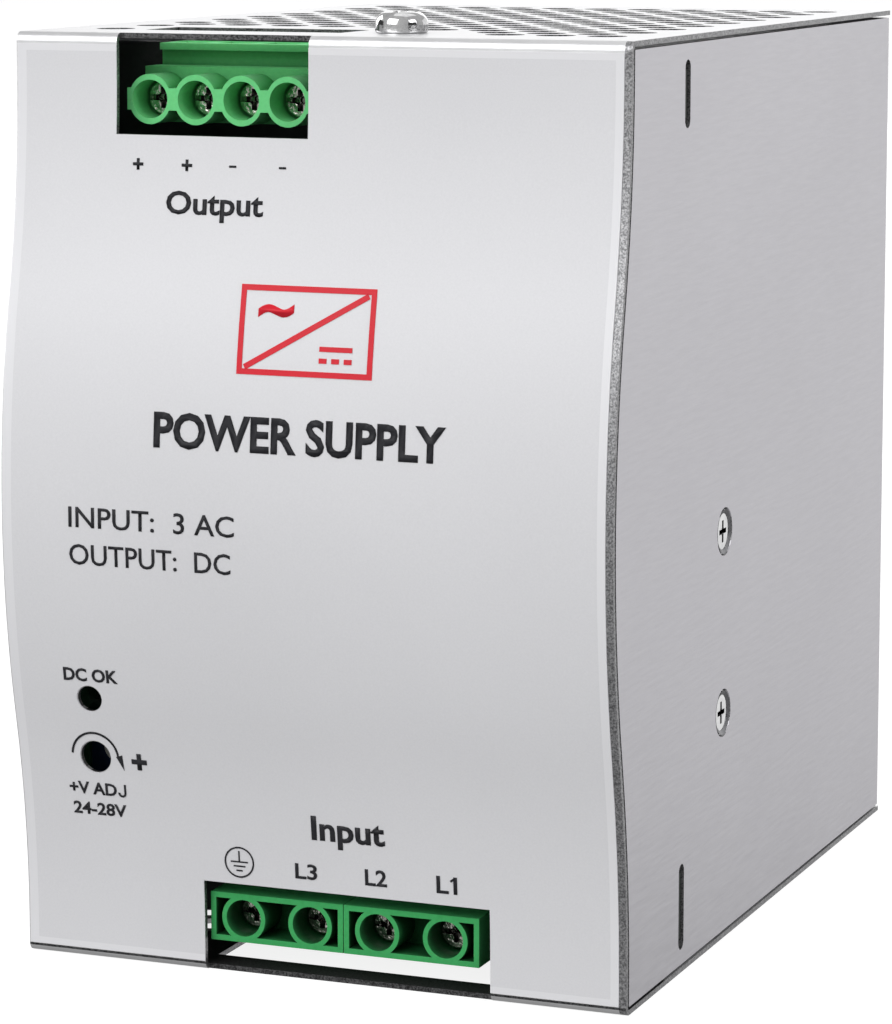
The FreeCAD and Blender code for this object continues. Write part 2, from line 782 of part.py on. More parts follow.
def board_screws():
    """Pan head screws of the main board, of the output board's bracket and of the transistors."""
    screw = pan_screw(small_screw_radius, pan_head_radius, pan_head_height, 5.5)
    solids = [placed(screw, "+x", board_face, y, z) for y, z in standoff_places()]
    for x, y, z in bracket_screw_places():
        solids.append(placed(screw, "-y", x, y - nut_plate, z))
    return solids + transistor_screws()


def insulation_sheet():
    back = inner_back - board_margin
    sheet_solid = box(-inner_half, -inner_half + insulation, board_back + 1.0, back,
                      board_margin, case_height - board_margin)
    holes = [rod("+x", -inner_half - 1.0, y, z, standoff_across_flats / 2.0 + 1.0, insulation + 2.0)
             for y, z in standoff_places()]
    return sheet_solid.cut(Part.makeCompound(holes))


def top_bracket():
    """The angle under the top sheet that the pan head screw holds, carrying the output board."""
    half = 5.0
    top = box(top_screw_x - half, top_screw_x + half, top_screw_depth - half, board_depth,
              inner_top - nut_plate, inner_top)
    low = output_axis_z - 4.0 - pan_head_radius - 1.0
    leaf = box(top_screw_x - half, top_screw_x + half, board_depth - nut_plate, board_depth,
               low, inner_top)
    hole = rod("+z", top_screw_x, top_screw_depth, inner_top - 5.0,
               side_screw_radius + thread_clearance, 6.0)
    holes = [hole]
    for x, y, z in bracket_screw_places():
        holes.append(rod("+y", x, y - 5.0, z, small_screw_radius + thread_clearance, 6.0))
    return fuse([top, leaf]).cut(Part.makeCompound(holes))


# ---------------------------------------------------------------- lamp and trimmer

def status_led():
    """A 3 mm lamp pointing at its hole."""
    tip = tongue_depth - 3.2
    lens = rod("+y", led_x, tip + 1.5, led_z, 1.5, 3.4)
    dome = Part.makeSphere(1.5, FreeCAD.Vector(led_x, tip + 1.5, led_z))
    base = rod("+y", led_x, tip + 4.4, led_z, 1.9, 0.8)
    return fuse([lens, dome, base])


def led_holder():
    """The block that carries the lamp at a right angle to the board."""
    front = tongue_depth - 3.2 + 5.2
    return box(board_face, led_x + 2.3, front, front + 5.0, led_z - 2.3, led_z + 2.3)


def trimmer_body():
    half = led_x - board_face
    front = tongue_depth + 0.6
    body = box(board_face, led_x + half, front, front + 5.0, trimmer_z - half, trimmer_z + half)
    well = rod("+y", led_x, front - 1.0, trimmer_z, trimmer_hole_radius - 0.2, 2.2)
    return body.cut(well)


def trimmer_rotor():
    """The slotted disc that is turned to set the output voltage."""
    front = tongue_depth + 0.2
    disc = rod("+y", led_x, front, trimmer_z, trimmer_hole_radius - 0.25, 1.5)
    slot = block((led_x, front, trimmer_z), (2.6, 1.6, 0.6))
    cross = block((led_x, front, trimmer_z), (0.6, 1.6, 2.6))
    return disc.cut(slot.fuse(cross))


# ---------------------------------------------------------------- layout of the main board

def spread(start, end, sizes):
    """Centres of pieces of the given sizes, with equal gaps between them and at both ends."""
    gap = (end - start - sum(sizes)) / (len(sizes) + 1)
    centres = []
    place = start
    for size in sizes:
        centres.append(place + gap + size / 2.0)
        place += gap + size
    return centres


def row_heights():
    """Heights of the input row, the bulk capacitors, the transformer and the output capacitors."""
    choke_span = 2.0 * (input_choke_size[0] + input_choke_wire)
    sizes = [choke_span, 2.0 * bulk_radius, core_size[2], 2.0 * filter_radius]
    return spread(board_margin, case_height - board_margin, sizes)


def input_row():
    """Depths of the fuses, the input choke, the two film capacitors and the varistors."""
    choke_span = 2.0 * (input_choke_size[0] + input_choke_wire)
    sizes = [fuse_length, choke_span, film_size[1], film_size[1], 2.0 * varistor_radius]
    return spread(board_back + row_start_gap, inner_back - board_margin, sizes)


def middle_row():
    """Depths of the two bulk capacitors and the relay, behind the transistors' sink."""
    start = side_screw_depth + sink_thickness / 2.0 + fin_height
    sizes = [2.0 * bulk_radius, 2.0 * bulk_radius, relay_size[1]]
    return spread(start, inner_back - board_margin, sizes)


def bobbin_depth():
    return core_size[1] + 2.0 * (bobbin_wall + winding_thickness) + 2.0


def upper_row():
    """Depths of the transformer and of the output choke, behind the rectifiers' sink."""
    start = side_screw_depth + rectifier_sink_thickness / 2.0 + fin_height
    sizes = [bobbin_depth(), 2.0 * (output_choke_size[0] + output_choke_wire)]
    return spread(start, inner_back - board_margin, sizes)


# ---------------------------------------------------------------- heat sinks and power parts

def finned_sink(thickness, low, high, reach):
    """An upright plate standing on the main board, with fins beyond its power parts."""
    front = side_screw_depth - thickness / 2.0
    back = side_screw_depth + thickness / 2.0
    plate = box(board_face, reach, front, back, low, high)
    start = board_face + bare_sink_length
    fins = []
    for i in range(int((reach - start) // fin_pitch)):
        x = start + i * fin_pitch
        fins.append(box(x, x + fin_thickness, front - fin_height, back + fin_height, low, high))
    return fuse([plate] + fins) if fins else plate


def transistor_sink():
    """The sink that the two countersunk screws of the right side reach."""
    sink = finned_sink(sink_thickness, sink_low, sink_high, inner_half)
    hole = flat_screw_hole(side_screw_radius, side_head_radius, side_head_height, side_screw_length)
    x = half_width - side_head_sink
    cuts = [placed(hole, "+x", x, side_screw_depth, z) for z in side_screw_heights()]
    cuts += [rod("+y", x, y - 1.0, z, small_screw_radius + thread_clearance, sink_thickness)
             for x, y, z in transistor_screw_places()]
    return sink.cut(Part.makeCompound(cuts))


def package(size, front, z, pitch):
    """A flat moulded power part, its three leads running to the board; front is its near face."""
    x0 = board_face + lead_length
    body = box(x0, x0 + size[0], front, front + size[1], z - size[2] / 2.0, z + size[2] / 2.0)
    leads = [box(board_face, x0 + 0.5, front + size[1] / 2.0 - 0.3, front + size[1] / 2.0 + 0.3,
                 z + i * pitch - 0.5, z + i * pitch + 0.5) for i in (-1, 0, 1)]
    return fuse([body] + leads)


def pair_heights(low, high, width):
    offset = (width + package_gap) / 2.0
    centre = (low + high) / 2.0
    return (centre - offset, centre + offset)


def transistor_heights():
    return pair_heights(sink_low, sink_high, power_body[2])


def transistor_screw_places():
    front = side_screw_depth - sink_thickness / 2.0
    x = board_face + lead_length + power_body[0] * 0.7
    return [(x, front, z) for z in transistor_heights()]


def power_transistors():
    front = side_screw_depth - sink_thickness / 2.0 - power_body[1]
    bodies = [package(power_body, front, z, 5.45) for z in transistor_heights()]
    holes = [rod("+y", x, front - 1.0, z, small_screw_radius + thread_clearance, power_body[1] + 2.0)
             for x, y, z in transistor_screw_places()]
    return [b.cut(Part.makeCompound(holes)) for b in bodies]


def transistor_screws():
    length = power_body[1] + sink_thickness - 2.0
    screw = pan_screw(small_screw_radius, pan_head_radius, pan_head_height, length)
    return [placed(screw, "-y", x, y - power_body[1], z) for x, y, z in transistor_screw_places()]


def rectifier_sink_span():
    high = case_height - rectifier_sink_drop
    return (high - rectifier_sink_height, high)


def rectifier_sink():
    low, high = rectifier_sink_span()
    return finned_sink(rectifier_sink_thickness, low, high, board_face + rectifier_sink_reach)


def output_rectifiers():
    front = side_screw_depth - rectifier_sink_thickness / 2.0 - rectifier_body[1]
    low, high = rectifier_sink_span()
    heights = pair_heights(low, high, rectifier_body[2])
    return [package(rectifier_body, front, z, 2.54) for z in heights]


# ---------------------------------------------------------------- transformer and chokes

def core_box(size):
    centre = (board_face + core_size[0] / 2.0, upper_row()[0], row_heights()[2])
    return block(centre, size)


def core_window_height():
    return (core_size[2] - 2.0 * yoke - centre_leg) / 2.0


def transformer_core():
    """Two ferrite halves round a centre leg, standing on the board."""
    window_x = core_size[0] - 2.0 * yoke
    offset = (centre_leg + core_window_height()) / 2.0
    cuts = []
    for side in (-1.0, 1.0):
        centre = (board_face + core_size[0] / 2.0, upper_row()[0], row_heights()[2] + side * offset)
        cuts.append(block(centre, (window_x, core_size[1] + 2.0, core_window_height())))
    return core_box(core_size).cut(Part.makeCompound(cuts))


def transformer_bobbin():
    """The moulded former round the centre leg, with a flange at each end."""
    length = core_size[0] - 2.0 * yoke - 2.0 * seat_gap
    leg_y = core_size[1] + 2.0 * seat_gap
    leg_z = centre_leg + 2.0 * seat_gap
    tube = core_box((length, leg_y + 2.0 * bobbin_wall, leg_z + 2.0 * bobbin_wall))
    reach = core_window_height() - seat_gap
    flanges = []
    for side in (-1.0, 1.0):
        centre_x = board_face + core_size[0] / 2.0 + side * (length - bobbin_wall) / 2.0
        size = (bobbin_wall, bobbin_depth(), centre_leg + 2.0 * reach)
        flanges.append(block((centre_x, upper_row()[0], row_heights()[2]), size))
    return fuse([tube] + flanges).cut(core_box((length + 2.0, leg_y, leg_z)))


def transformer_winding():
    """The taped copper pack between the bobbin's flanges."""
    length = core_size[0] - 2.0 * yoke - 2.0 * bobbin_wall - 4.0 * seat_gap
    inner_y = core_size[1] + 2.0 * bobbin_wall + 4.0 * seat_gap
    inner_z = centre_leg + 2.0 * bobbin_wall + 4.0 * seat_gap
    pack = core_window_height() - bobbin_wall - 4.0 * seat_gap
    outer = core_box((length, inner_y + 2.0 * winding_thickness, inner_z + 2.0 * pack))
    lengthwise = [e for e in outer.Edges if e.BoundBox.XLength > length / 2.0]
    outer = outer.makeFillet(min(pack, winding_thickness) * 0.5, lengthwise)
    return outer.cut(core_box((length + 2.0, inner_y, inner_z)))


def ring(y, z, outer, inner, base, thickness):
    """A toroid lying on the board with its hole facing the right side."""
    disc = rod("+x", base, y, z, outer, thickness)
    return disc.cut(rod("+x", base - 1.0, y, z, inner, thickness + 2.0))


def choke(y, z, size, wraps, wrap_angle, wire):
    """A toroid core and the evenly spaced winding sectors wrapped round it."""
    outer, inner, thickness = size
    base = board_face + wire
    core = ring(y, z, outer, inner, base, thickness)
    sleeve = ring(y, z, outer + wire, inner - wire, base - wire, thickness + 2.0 * wire)
    sleeve = sleeve.cut(ring(y, z, outer + seat_gap, inner - seat_gap, base - seat_gap,
                             thickness + 2.0 * seat_gap))
    sectors = []
    for i in range(wraps):
        start = FreeCAD.Vector(base - 2.0 * wire, y, z)
        wedge = Part.makeCylinder(outer + 2.0 * wire, thickness + 4.0 * wire, start,
                                  FreeCAD.Vector(1, 0, 0), wrap_angle)
        wedge.rotate(FreeCAD.Vector(base, y, z), FreeCAD.Vector(1, 0, 0), i * 360.0 / wraps)
        sectors.append(sleeve.common(wedge))
    return core, sectors


# ---------------------------------------------------------------- capacitors and small parts

def can(y, z, radius, height):
    """A can capacitor standing on the board, its rim rolled at the far end."""
    body = rod("+x", board_face, y, z, radius, height)
    rims = [e for e in body.Edges if e.BoundBox.XLength < 0.1]
    return body.makeFillet(radius * 0.08, rims)


def bulk_capacitors():
    return [can(y, row_heights()[1], bulk_radius, bulk_height) for y in middle_row()[:2]]


def output_capacitors():
    sizes = [2.0 * filter_radius] * filter_count
    start = board_back + row_start_gap
    depths = spread(start, start + sum(sizes) * 1.15, sizes)
    return [can(y, row_heights()[3], filter_radius, filter_height) for y in depths]


def film_capacitors():
    depths = input_row()[2:4]
    return [block((board_face + film_size[0] / 2.0, y, row_heights()[0]), film_size) for y in depths]


def varistors():
    """Three discs in a stack, each on its edge on the board."""
    y = input_row()[4]
    x = board_face + varistor_radius
    first = row_heights()[0] - varistor_pitch - varistor_thickness / 2.0
    return [rod("+z", x, y, first + i * varistor_pitch, varistor_radius, varistor_thickness)
            for i in range(3)]


def fuse_heights():
    first = board_margin + fuse_radius + 0.6
    return [first + i * fuse_pitch for i in range(3)]


def fuses():
    start = input_row()[0] - fuse_length / 2.0
    return [rod("+y", board_face + fuse_rise, start, z, fuse_radius, fuse_length) for z in fuse_heights()]


def fuse_clips():
    """Two sprung cups under each fuse."""
    half = fuse_radius + 0.4
    offset = fuse_length / 2.0 - clip_length / 2.0
    solids = []
    for z in fuse_heights():
        for y in (input_row()[0] - offset, input_row()[0] + offset):
            cup = block((board_face + fuse_rise / 2.0, y, z), (fuse_rise, clip_length, 2.0 * half))
            hollow = rod("+y", board_face + fuse_rise, y - clip_length, z, fuse_radius + seat_gap,
                         2.0 * clip_length)
            solids.append(cup.cut(hollow))
    return solids


def inrush_relay():
    centre = (board_face + relay_size[0] / 2.0, middle_row()[2], row_heights()[1])
    return block(centre, relay_size)


def control_card_z():
    return row_heights()[2] - core_size[2] / 2.0 + 6.0


def control_card():
    """A small card for the regulator, standing on the main board, with two chips soldered on."""
    y = upper_row()[1]
    z = control_card_z()
    card = block((board_face + card_size[0] / 2.0, y, z), card_size)
    top = z + (card_size[2] + chip_size[2]) / 2.0
    chips = [block((board_face + card_size[0] * share, y, top), chip_size) for share in (0.3, 0.7)]
    return fuse([card] + chips)


# ---------------------------------------------------------------- fasteners of the case

def side_screws():
    screw = flat_screw(side_screw_radius, side_head_radius, side_head_height, side_screw_length)
    x = half_width - side_head_sink
    return [placed(screw, "+x", x, side_screw_depth, z) for z in side_screw_heights()]


def top_screw():
    screw = pan_screw(side_screw_radius, top_head_radius, top_head_height, top_screw_length)
    return placed(screw, "+z", top_screw_x, top_screw_depth, case_height)


def rear_screws():
    screw = pan_screw(small_screw_radius, pan_head_radius, pan_head_height, rear_screw_length)
    return [placed(screw, "+y", x, case_depth, z) for x, z in rear_screw_places()]


# ---------------------------------------------------------------- rail clip

def clip_screw_heights():
    return (rail_bottom - clip_screw_drop, rail_top + clip_screw_rise)


def rail_bracket():
    """The plate screwed to the back, with the fixed upper hook and the latch's two guides."""
    half = bracket_width / 2.0
    y1 = clip_plane
    plate = box(-half, half, case_depth, y1, rail_bottom - bracket_tail, rail_top + bracket_head)
    hook_front = y1 + rail_thickness + rail_play
    solids = [plate]
    solids.append(box(-half, half, y1 - 0.5, y1 + clip_reach, rail_top, rail_top + hook_height))
    solids.append(box(-half, half, hook_front, y1 + clip_reach, rail_top - hook_overlap, rail_top + 1.0))
    inner = latch_width / 2.0 + slide_gap
    lip_front = y1 + slide_gap + latch_thickness + slide_gap
    for side in (-1.0, 1.0):
        wall = sorted((side * inner, side * (inner + guide_wall)))
        lip = sorted((side * (inner - 2.0), side * (inner + guide_wall)))
        low = guide_high - guide_length
        solids.append(box(wall[0], wall[1], y1 - 0.5, lip_front + guide_lip, low, guide_high))
        solids.append(box(lip[0], lip[1], lip_front, lip_front + guide_lip, low, guide_high))
    seat = box(-2.4, 2.4, y1 - 0.5, y1 + clip_reach - 0.2,
               spring_seat_z - spring_seat_height, spring_seat_z)
    solids.append(seat)
    body = fuse(solids)
    cuts = []
    for z in clip_screw_heights():
        hole = flat_screw_hole(clip_screw_radius, clip_head_radius, clip_head_height, clip_screw_length)
        cuts.append(placed(hole, "+y", 0.0, y1, z))
    return body.cut(Part.makeCompound(cuts))


def rail_latch():
    """The sprung slide that grips the rail's lower edge, pulled down by a screwdriver to let go."""
    half = latch_width / 2.0
    y0 = clip_plane + slide_gap
    top = rail_bottom - rail_play
    plate = box(-half, half, y0, y0 + latch_thickness, latch_low, top)
    nose_front = clip_plane + rail_thickness + rail_play
    head = box(-half, half, y0, clip_plane + clip_reach, guide_high + latch_travel + 0.5, top)
    lip = box(-half, half, nose_front, clip_plane + clip_reach, top - 1.0, rail_bottom + hook_overlap)
    body = fuse([plate, head, lip])
    top_edge = [e for e in body.Edges
                if e.BoundBox.XLength > latch_width - 1.0
                and e.BoundBox.ZMin > rail_bottom + hook_overlap - 0.1
                and e.BoundBox.YMin > clip_plane + clip_reach - 0.1]
    body = body.makeChamfer(1.6, top_edge)
    window = box(-2.7, 2.7, y0 - 1.0, y0 + latch_thickness + 5.0,
                 spring_seat_z - spring_seat_height - slide_gap, spring_seat_z + spring_length)
    slot = box(-slot_length / 2.0, slot_length / 2.0, y0 - 1.0, y0 + latch_thickness + 1.0,
               latch_low + 2.5, latch_low + 2.5 + slot_height)
    return body.cut(Part.makeCompound([window, slot]))


def latch_spring():
    """The compression spring between the bracket's seat and the top of the latch's window."""
    radius = spring_wire / 2.0
    height = spring_length - spring_wire - 0.1
    y = clip_plane + slide_gap + 0.1 + spring_radius + radius
    helix = Part.makeHelix(height / spring_turns, height, spring_radius)
    start = FreeCAD.Vector(spring_radius, 0, 0)
    profile = Part.Wire(Part.makeCircle(radius, start, FreeCAD.Vector(0, 1, 0)))
    coil = Part.Wire(helix).makePipeShell([profile], True, True)
    coil.translate(FreeCAD.Vector(0, y, spring_seat_z + radius + 0.05))
    return Part.Solid(coil) if coil.ShapeType != "Solid" else coil


def clip_screws():
    screw = flat_screw(clip_screw_radius, clip_head_radius, clip_head_height, clip_screw_length)
    return [placed(screw, "+y", 0.0, clip_plane - 0.05, z) for z in clip_screw_heights()]


def clip_nuts():
    """Press nuts behind the back sheet that take the clip's screws."""
    solids = []
    for z in clip_screw_heights():
        nut = hex_prism("-y", 0.0, inner_back, z, clip_nut_across_flats, clip_nut_height)
        solids.append(nut.cut(rod("-y", 0.0, inner_back + 1.0, z, clip_screw_radius + thread_clearance,
                                  clip_nut_height + 2.0)))
    return solids


def main():
    os.makedirs("parts", exist_ok=True)
    save("front_shell", front_shell())
    save("rear_shell", rear_shell())
    save("front_label", front_label())
    save("output_terminal_housing", output_terminal_housing())
    xs = input_xs()
    save("input_terminal_housing_left", input_terminal_housing(xs[:module_poles]))
    save("input_terminal_housing_right", input_terminal_housing(xs[module_poles:]))
    for i, x in enumerate(output_xs(), 1):
        save("output_screw_%d" % i, terminal_screw(x, output_axis_z, output_head_back()))
        save("output_clamp_%d" % i, terminal_clamp(x, output_axis_z, 1.0))
    for i, x in enumerate(xs, 1):
        save("input_screw_%d" % i, terminal_screw(x, input_axis_z, input_head_back()))
        save("input_clamp_%d" % i, terminal_clamp(x, input_axis_z, -1.0))
    contacts = [terminal_contact(x, output_axis_z, 1.0) for x in output_xs()]
    contacts += [terminal_contact(x, input_axis_z, -1.0) for x in xs]
    save("terminal_contacts", *contacts)
    low_tab, high_tab = board_tabs()
    output_tails = [(x, output_axis_z, 1.0) for x in output_xs()]
    input_tails = [(x, input_axis_z, -1.0) for x in xs]
    save("output_board", terminal_board(high_tab, output_board_low(), inner_top - 1.3, output_tails))
    save("input_board", terminal_board(low_tab, sheet + 1.3, input_board_high(), input_tails))
    save("main_board", main_board())
    save("pressed_inserts", *pressed_inserts())
    save("board_screws", *board_screws())
    save("insulation_sheet", insulation_sheet())
    save("top_bracket", top_bracket())
    save("status_led", status_led())
    save("led_holder", led_holder())
    save("trimmer_body", trimmer_body())
    save("trimmer_rotor", trimmer_rotor())
    save("transistor_sink", transistor_sink())
    save("power_transistors", *power_transistors())
    save("rectifier_sink", rectifier_sink())
    save("output_rectifiers", *output_rectifiers())
    save("transformer_core", transformer_core())
    save("transformer_bobbin", transformer_bobbin())
    save("transformer_winding", transformer_winding())
    core, sectors = choke(input_row()[1], row_heights()[0], input_choke_size, 3, 88.0, input_choke_wire)
    save("input_choke_core", core)
    save("input_choke_windings", *sectors)
    choke_z = row_heights()[2] + core_size[2] / 2.0 - output_choke_size[0] - output_choke_wire
    core, sectors = choke(upper_row()[1], choke_z, output_choke_size, 2, 150.0, output_choke_wire)
    save("output_choke_core", core)
    save("output_choke_windings", *sectors)
    save("bulk_capacitors", *bulk_capacitors())
    save("output_capacitors", *output_capacitors())
    save("film_capacitors", *film_capacitors())
    save("varistors", *varistors())
    save("fuses", *fuses())
    save("fuse_clips", *fuse_clips())
    save("inrush_relay", inrush_relay())
    save("control_card", control_card())
    save("side_screws", *side_screws())
    save("top_screw", top_screw())
    save("rear_screws", *rear_screws())
    save("rail_bracket", rail_bracket())
    save("rail_latch", rail_latch())
    save("latch_spring", latch_spring())
    save("clip_screws", *clip_screws())


main()
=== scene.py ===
import math

import bmesh
import bpy
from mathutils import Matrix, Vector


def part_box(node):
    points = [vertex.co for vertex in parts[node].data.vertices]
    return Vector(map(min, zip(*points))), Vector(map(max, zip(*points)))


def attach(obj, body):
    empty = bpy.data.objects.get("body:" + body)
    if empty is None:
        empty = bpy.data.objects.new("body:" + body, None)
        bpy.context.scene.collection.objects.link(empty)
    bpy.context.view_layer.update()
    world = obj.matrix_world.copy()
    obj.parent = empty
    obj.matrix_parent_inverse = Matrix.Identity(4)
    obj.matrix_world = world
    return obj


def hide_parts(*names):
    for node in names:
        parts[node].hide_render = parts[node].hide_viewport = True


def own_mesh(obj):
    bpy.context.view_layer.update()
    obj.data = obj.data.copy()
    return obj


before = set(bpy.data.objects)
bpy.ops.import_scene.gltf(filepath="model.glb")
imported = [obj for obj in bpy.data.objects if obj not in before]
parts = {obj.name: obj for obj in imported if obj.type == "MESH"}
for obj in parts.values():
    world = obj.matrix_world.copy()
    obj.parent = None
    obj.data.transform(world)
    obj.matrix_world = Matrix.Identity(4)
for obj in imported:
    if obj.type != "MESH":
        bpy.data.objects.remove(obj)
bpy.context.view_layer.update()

# ---------------------------------------------------------------------------
# The stand: a pale table in a white room, soft boxes of light on every side,
# two black cards for the shine of the metal, and a camera a little above the
# supply and to the right of its labelled front.
# ---------------------------------------------------------------------------
table_grey = 0.22
table_glow = 0.86
room_dark = 0.36
room_light = 0.55
camera_tilt = math.radians(82.207)
camera_heading = math.radians(21.663)
scene = bpy.context.scene
scene.view_settings.view_transform = "Standard"

optics = bpy.data.cameras.new("camera")
optics.lens = 137.0
optics.shift_y = -0.1
optics.clip_end = 30.0
camera = bpy.data.objects.new("camera", optics)
camera.location = (0.2007, -0.5203, 0.1453)
camera.rotation_euler = (camera_tilt, 0, camera_heading)
scene.collection.objects.link(camera)
scene.camera = camera

bpy.ops.object.select_all(action="DESELECT")
bpy.ops.mesh.primitive_circle_add(vertices=96, radius=4.0, fill_type="NGON")
table = bpy.context.object
table.name = "table"
table_paint = bpy.data.materials.new("table_paint")
table_paint.use_nodes = True
table_shader = table_paint.node_tree.nodes["Principled BSDF"]
table_shader.inputs["Base Color"].default_value = (table_grey, table_grey, table_grey, 1)
table_shader.inputs["Roughness"].default_value = 0.85
table_shader.inputs["Emission Color"].default_value = (1, 1, 1, 1)
table_shader.inputs["Emission Strength"].default_value = table_glow
table.data.materials.append(table_paint)
table.visible_diffuse = False
table.visible_glossy = False


def split_place(tree, kind):
    """The coordinates of a point, each on an output of its own."""
    where = tree.nodes.new("ShaderNodeTexCoord")
    split = tree.nodes.new("ShaderNodeSeparateXYZ")
    tree.links.new(where.outputs[kind], split.inputs["Vector"])
    return split.outputs


def add_range(tree, value, taken, given):
    """Maps a value from one range of numbers to another."""
    node = tree.nodes.new("ShaderNodeMapRange")
    for socket, number in zip(("From Min", "From Max", "To Min", "To Max"), (*taken, *given)):
        node.inputs[socket].default_value = number
    tree.links.new(value, node.inputs["Value"])
    return node.outputs["Result"]


room = bpy.data.worlds.new("room")
room.use_nodes = True
room_tree = room.node_tree
sky_rise = add_range(room_tree, split_place(room_tree, "Generated")["Z"], (-0.35, 0.0),
                     (room_dark, room_light))
sky_seen = room_tree.nodes.new("ShaderNodeLightPath")
sky_level = room_tree.nodes.new("ShaderNodeMix")
sky_level.inputs[3].default_value = 1.0
room_tree.links.new(sky_seen.outputs["Is Camera Ray"], sky_level.inputs[0])
room_tree.links.new(sky_rise, sky_level.inputs[2])
room_tree.links.new(sky_level.outputs[0], room_tree.nodes["Background"].inputs["Strength"])
room_tree.nodes["Background"].inputs["Color"].default_value = (1, 1, 1, 1)
scene.world = room


def softbox(name, place, aim_height, size, power):
    """A square area light at a place, turned towards a height on the part's upright axis."""
    light = bpy.data.lights.new(name, "AREA")
    light.size = size
    light.energy = power
    lamp = bpy.data.objects.new(name, light)
    lamp.location = place
    x, y, z = place
    lamp.rotation_euler = (math.atan2(math.hypot(x, y), z - aim_height), 0, math.atan2(x, -y))
    lamp.visible_camera = False
    scene.collection.objects.link(lamp)


softbox("softbox_front", (-0.50, -1.20, 0.85), 0.07, 1.1, 14.6)
softbox("softbox_side", (1.30, -0.35, 0.80), 0.06, 0.8, 8.0)
softbox("softbox_right", (0.80, 1.35, 0.16), 0.06, 1.2, 2.5)
softbox("softbox_above", (0.0, 0.30, 1.30), 0.06, 0.9, 1.5)
softbox("softbox_left", (-1.40, 0.40, 0.60), 0.06, 0.9, 9.0)
softbox("softbox_back", (-0.35, 1.60, 0.55), 0.06, 1.1, 4.0)
card_size = (0.55, 0.60, 1)
card_height = 0.12
card_black = (0.01, 0.01, 0.01, 1)


def black_card(name, x, y, turn):
    """A dark upright card at one side, seen only in the shine of the bright metal."""
    bpy.ops.object.select_all(action="DESELECT")
    bpy.ops.mesh.primitive_plane_add(size=1.0, location=(x, y, card_height))
    card = bpy.context.object
    card.name = name
    card.rotation_euler = (math.pi / 2, 0, turn)
    card.scale = card_size
    paint = bpy.data.materials.new(name)
    paint.use_nodes = True
    shader = paint.node_tree.nodes["Principled BSDF"]
    shader.inputs["Base Color"].default_value = card_black
    card.data.materials.append(paint)
    card.visible_camera = False
    card.visible_diffuse = False
    card.visible_shadow = False


black_card("card_left", -0.70, -0.15, math.radians(78))
black_card("card_right", 0.72, -0.30, math.radians(68))


# ---------------------------------------------------------------------------
# The case: two folded sheets of plain aluminium. The front one carries the
# waved face and the perforated top and bottom, the rear one both sides and
# the back. The rolled surface keeps a faint grain along the sheet.
# ---------------------------------------------------------------------------
def add_math(tree, operation, first, second=0.0):
    """A sum on a node's value and a number, or on the values of two nodes."""
    node = tree.nodes.new("ShaderNodeMath")
    node.operation = operation
    tree.links.new(first, node.inputs[0])
    if isinstance(second, float):
        node.inputs[1].default_value = second
    else:
        tree.links.new(second, node.inputs[1])
    return node.outputs["Value"]


def add_noise(tree, way, scale, detail):
    """An uneven pattern of so many specks to the metre."""
    node = tree.nodes.new("ShaderNodeTexNoise")
    node.inputs["Scale"].default_value = scale
    node.inputs["Detail"].default_value = detail
    tree.links.new(way, node.inputs["Vector"])
    return node.outputs["Fac"]


def add_tones(tree, value, low, low_tone, high, high_tone):
    """A colour that goes from one tone to another between two levels of a value."""
    node = tree.nodes.new("ShaderNodeValToRGB")
    ends = node.color_ramp.elements
    ends[0].position, ends[0].color = low, (*low_tone, 1)
    ends[1].position, ends[1].color = high, (*high_tone, 1)
    tree.links.new(value, node.inputs["Fac"])
    return node.outputs["Color"]


def mix_tones(tree, share, first, second, blend="MIX"):
    """Mixes two colours by the share of the second one."""
    node = tree.nodes.new("ShaderNodeMix")
    node.data_type = "RGBA"
    node.blend_type = blend
    for value, socket in ((share, 0), (first, 6), (second, 7)):
        if isinstance(value, (float, tuple)):
            node.inputs[socket].default_value = value
        else:
            tree.links.new(value, node.inputs[socket])
    return node.outputs[2]


fine_share = 0.45
slow_share = 0.55
relief_share = 0.2


def finish(name, light, dark, rough, metal=0.0, grain=0.0004, cloud=0.03, bump=0.05,
           stretch=(1, 1, 1), **sockets):
    """A finish with fine grain and slow cloudy variation in tone, gloss and relief."""
    coat = bpy.data.materials.new(name)
    coat.use_nodes = True
    tree = coat.node_tree
    shader = tree.nodes["Principled BSDF"]
    where = tree.nodes.new("ShaderNodeTexCoord")
    turned = tree.nodes.new("ShaderNodeMapping")
    turned.inputs["Scale"].default_value = stretch
    tree.links.new(where.outputs["Object"], turned.inputs["Vector"])
    fine = add_noise(tree, turned.outputs["Vector"], 1.0 / grain, 3.0)
    slow = add_noise(tree, where.outputs["Object"], 1.0 / cloud, 5.0)
    both = add_math(tree, "ADD", add_math(tree, "MULTIPLY", fine, fine_share),
                    add_math(tree, "MULTIPLY", slow, slow_share))
    tree.links.new(add_tones(tree, both, 0.34, dark, 0.66, light), shader.inputs["Base Color"])
    tree.links.new(add_range(tree, both, (0.3, 0.7), rough), shader.inputs["Roughness"])
    relief = tree.nodes.new("ShaderNodeBump")
    relief.inputs["Strength"].default_value = bump
    relief.inputs["Distance"].default_value = grain * relief_share
    tree.links.new(fine, relief.inputs["Height"])
    tree.links.new(relief.outputs["Normal"], shader.inputs["Normal"])
    shader.inputs["Metallic"].default_value = metal
    for socket, value in sockets.items():
        shader.inputs[socket.replace("_", " ")].default_value = value
    return coat


def dress(coat, *names):
    """Gives CAD nodes their finish."""
    for name in names:
        slots = parts[name].material_slots
        if not slots:
            parts[name].data.materials.append(coat)
        for place in slots:
            place.material = coat


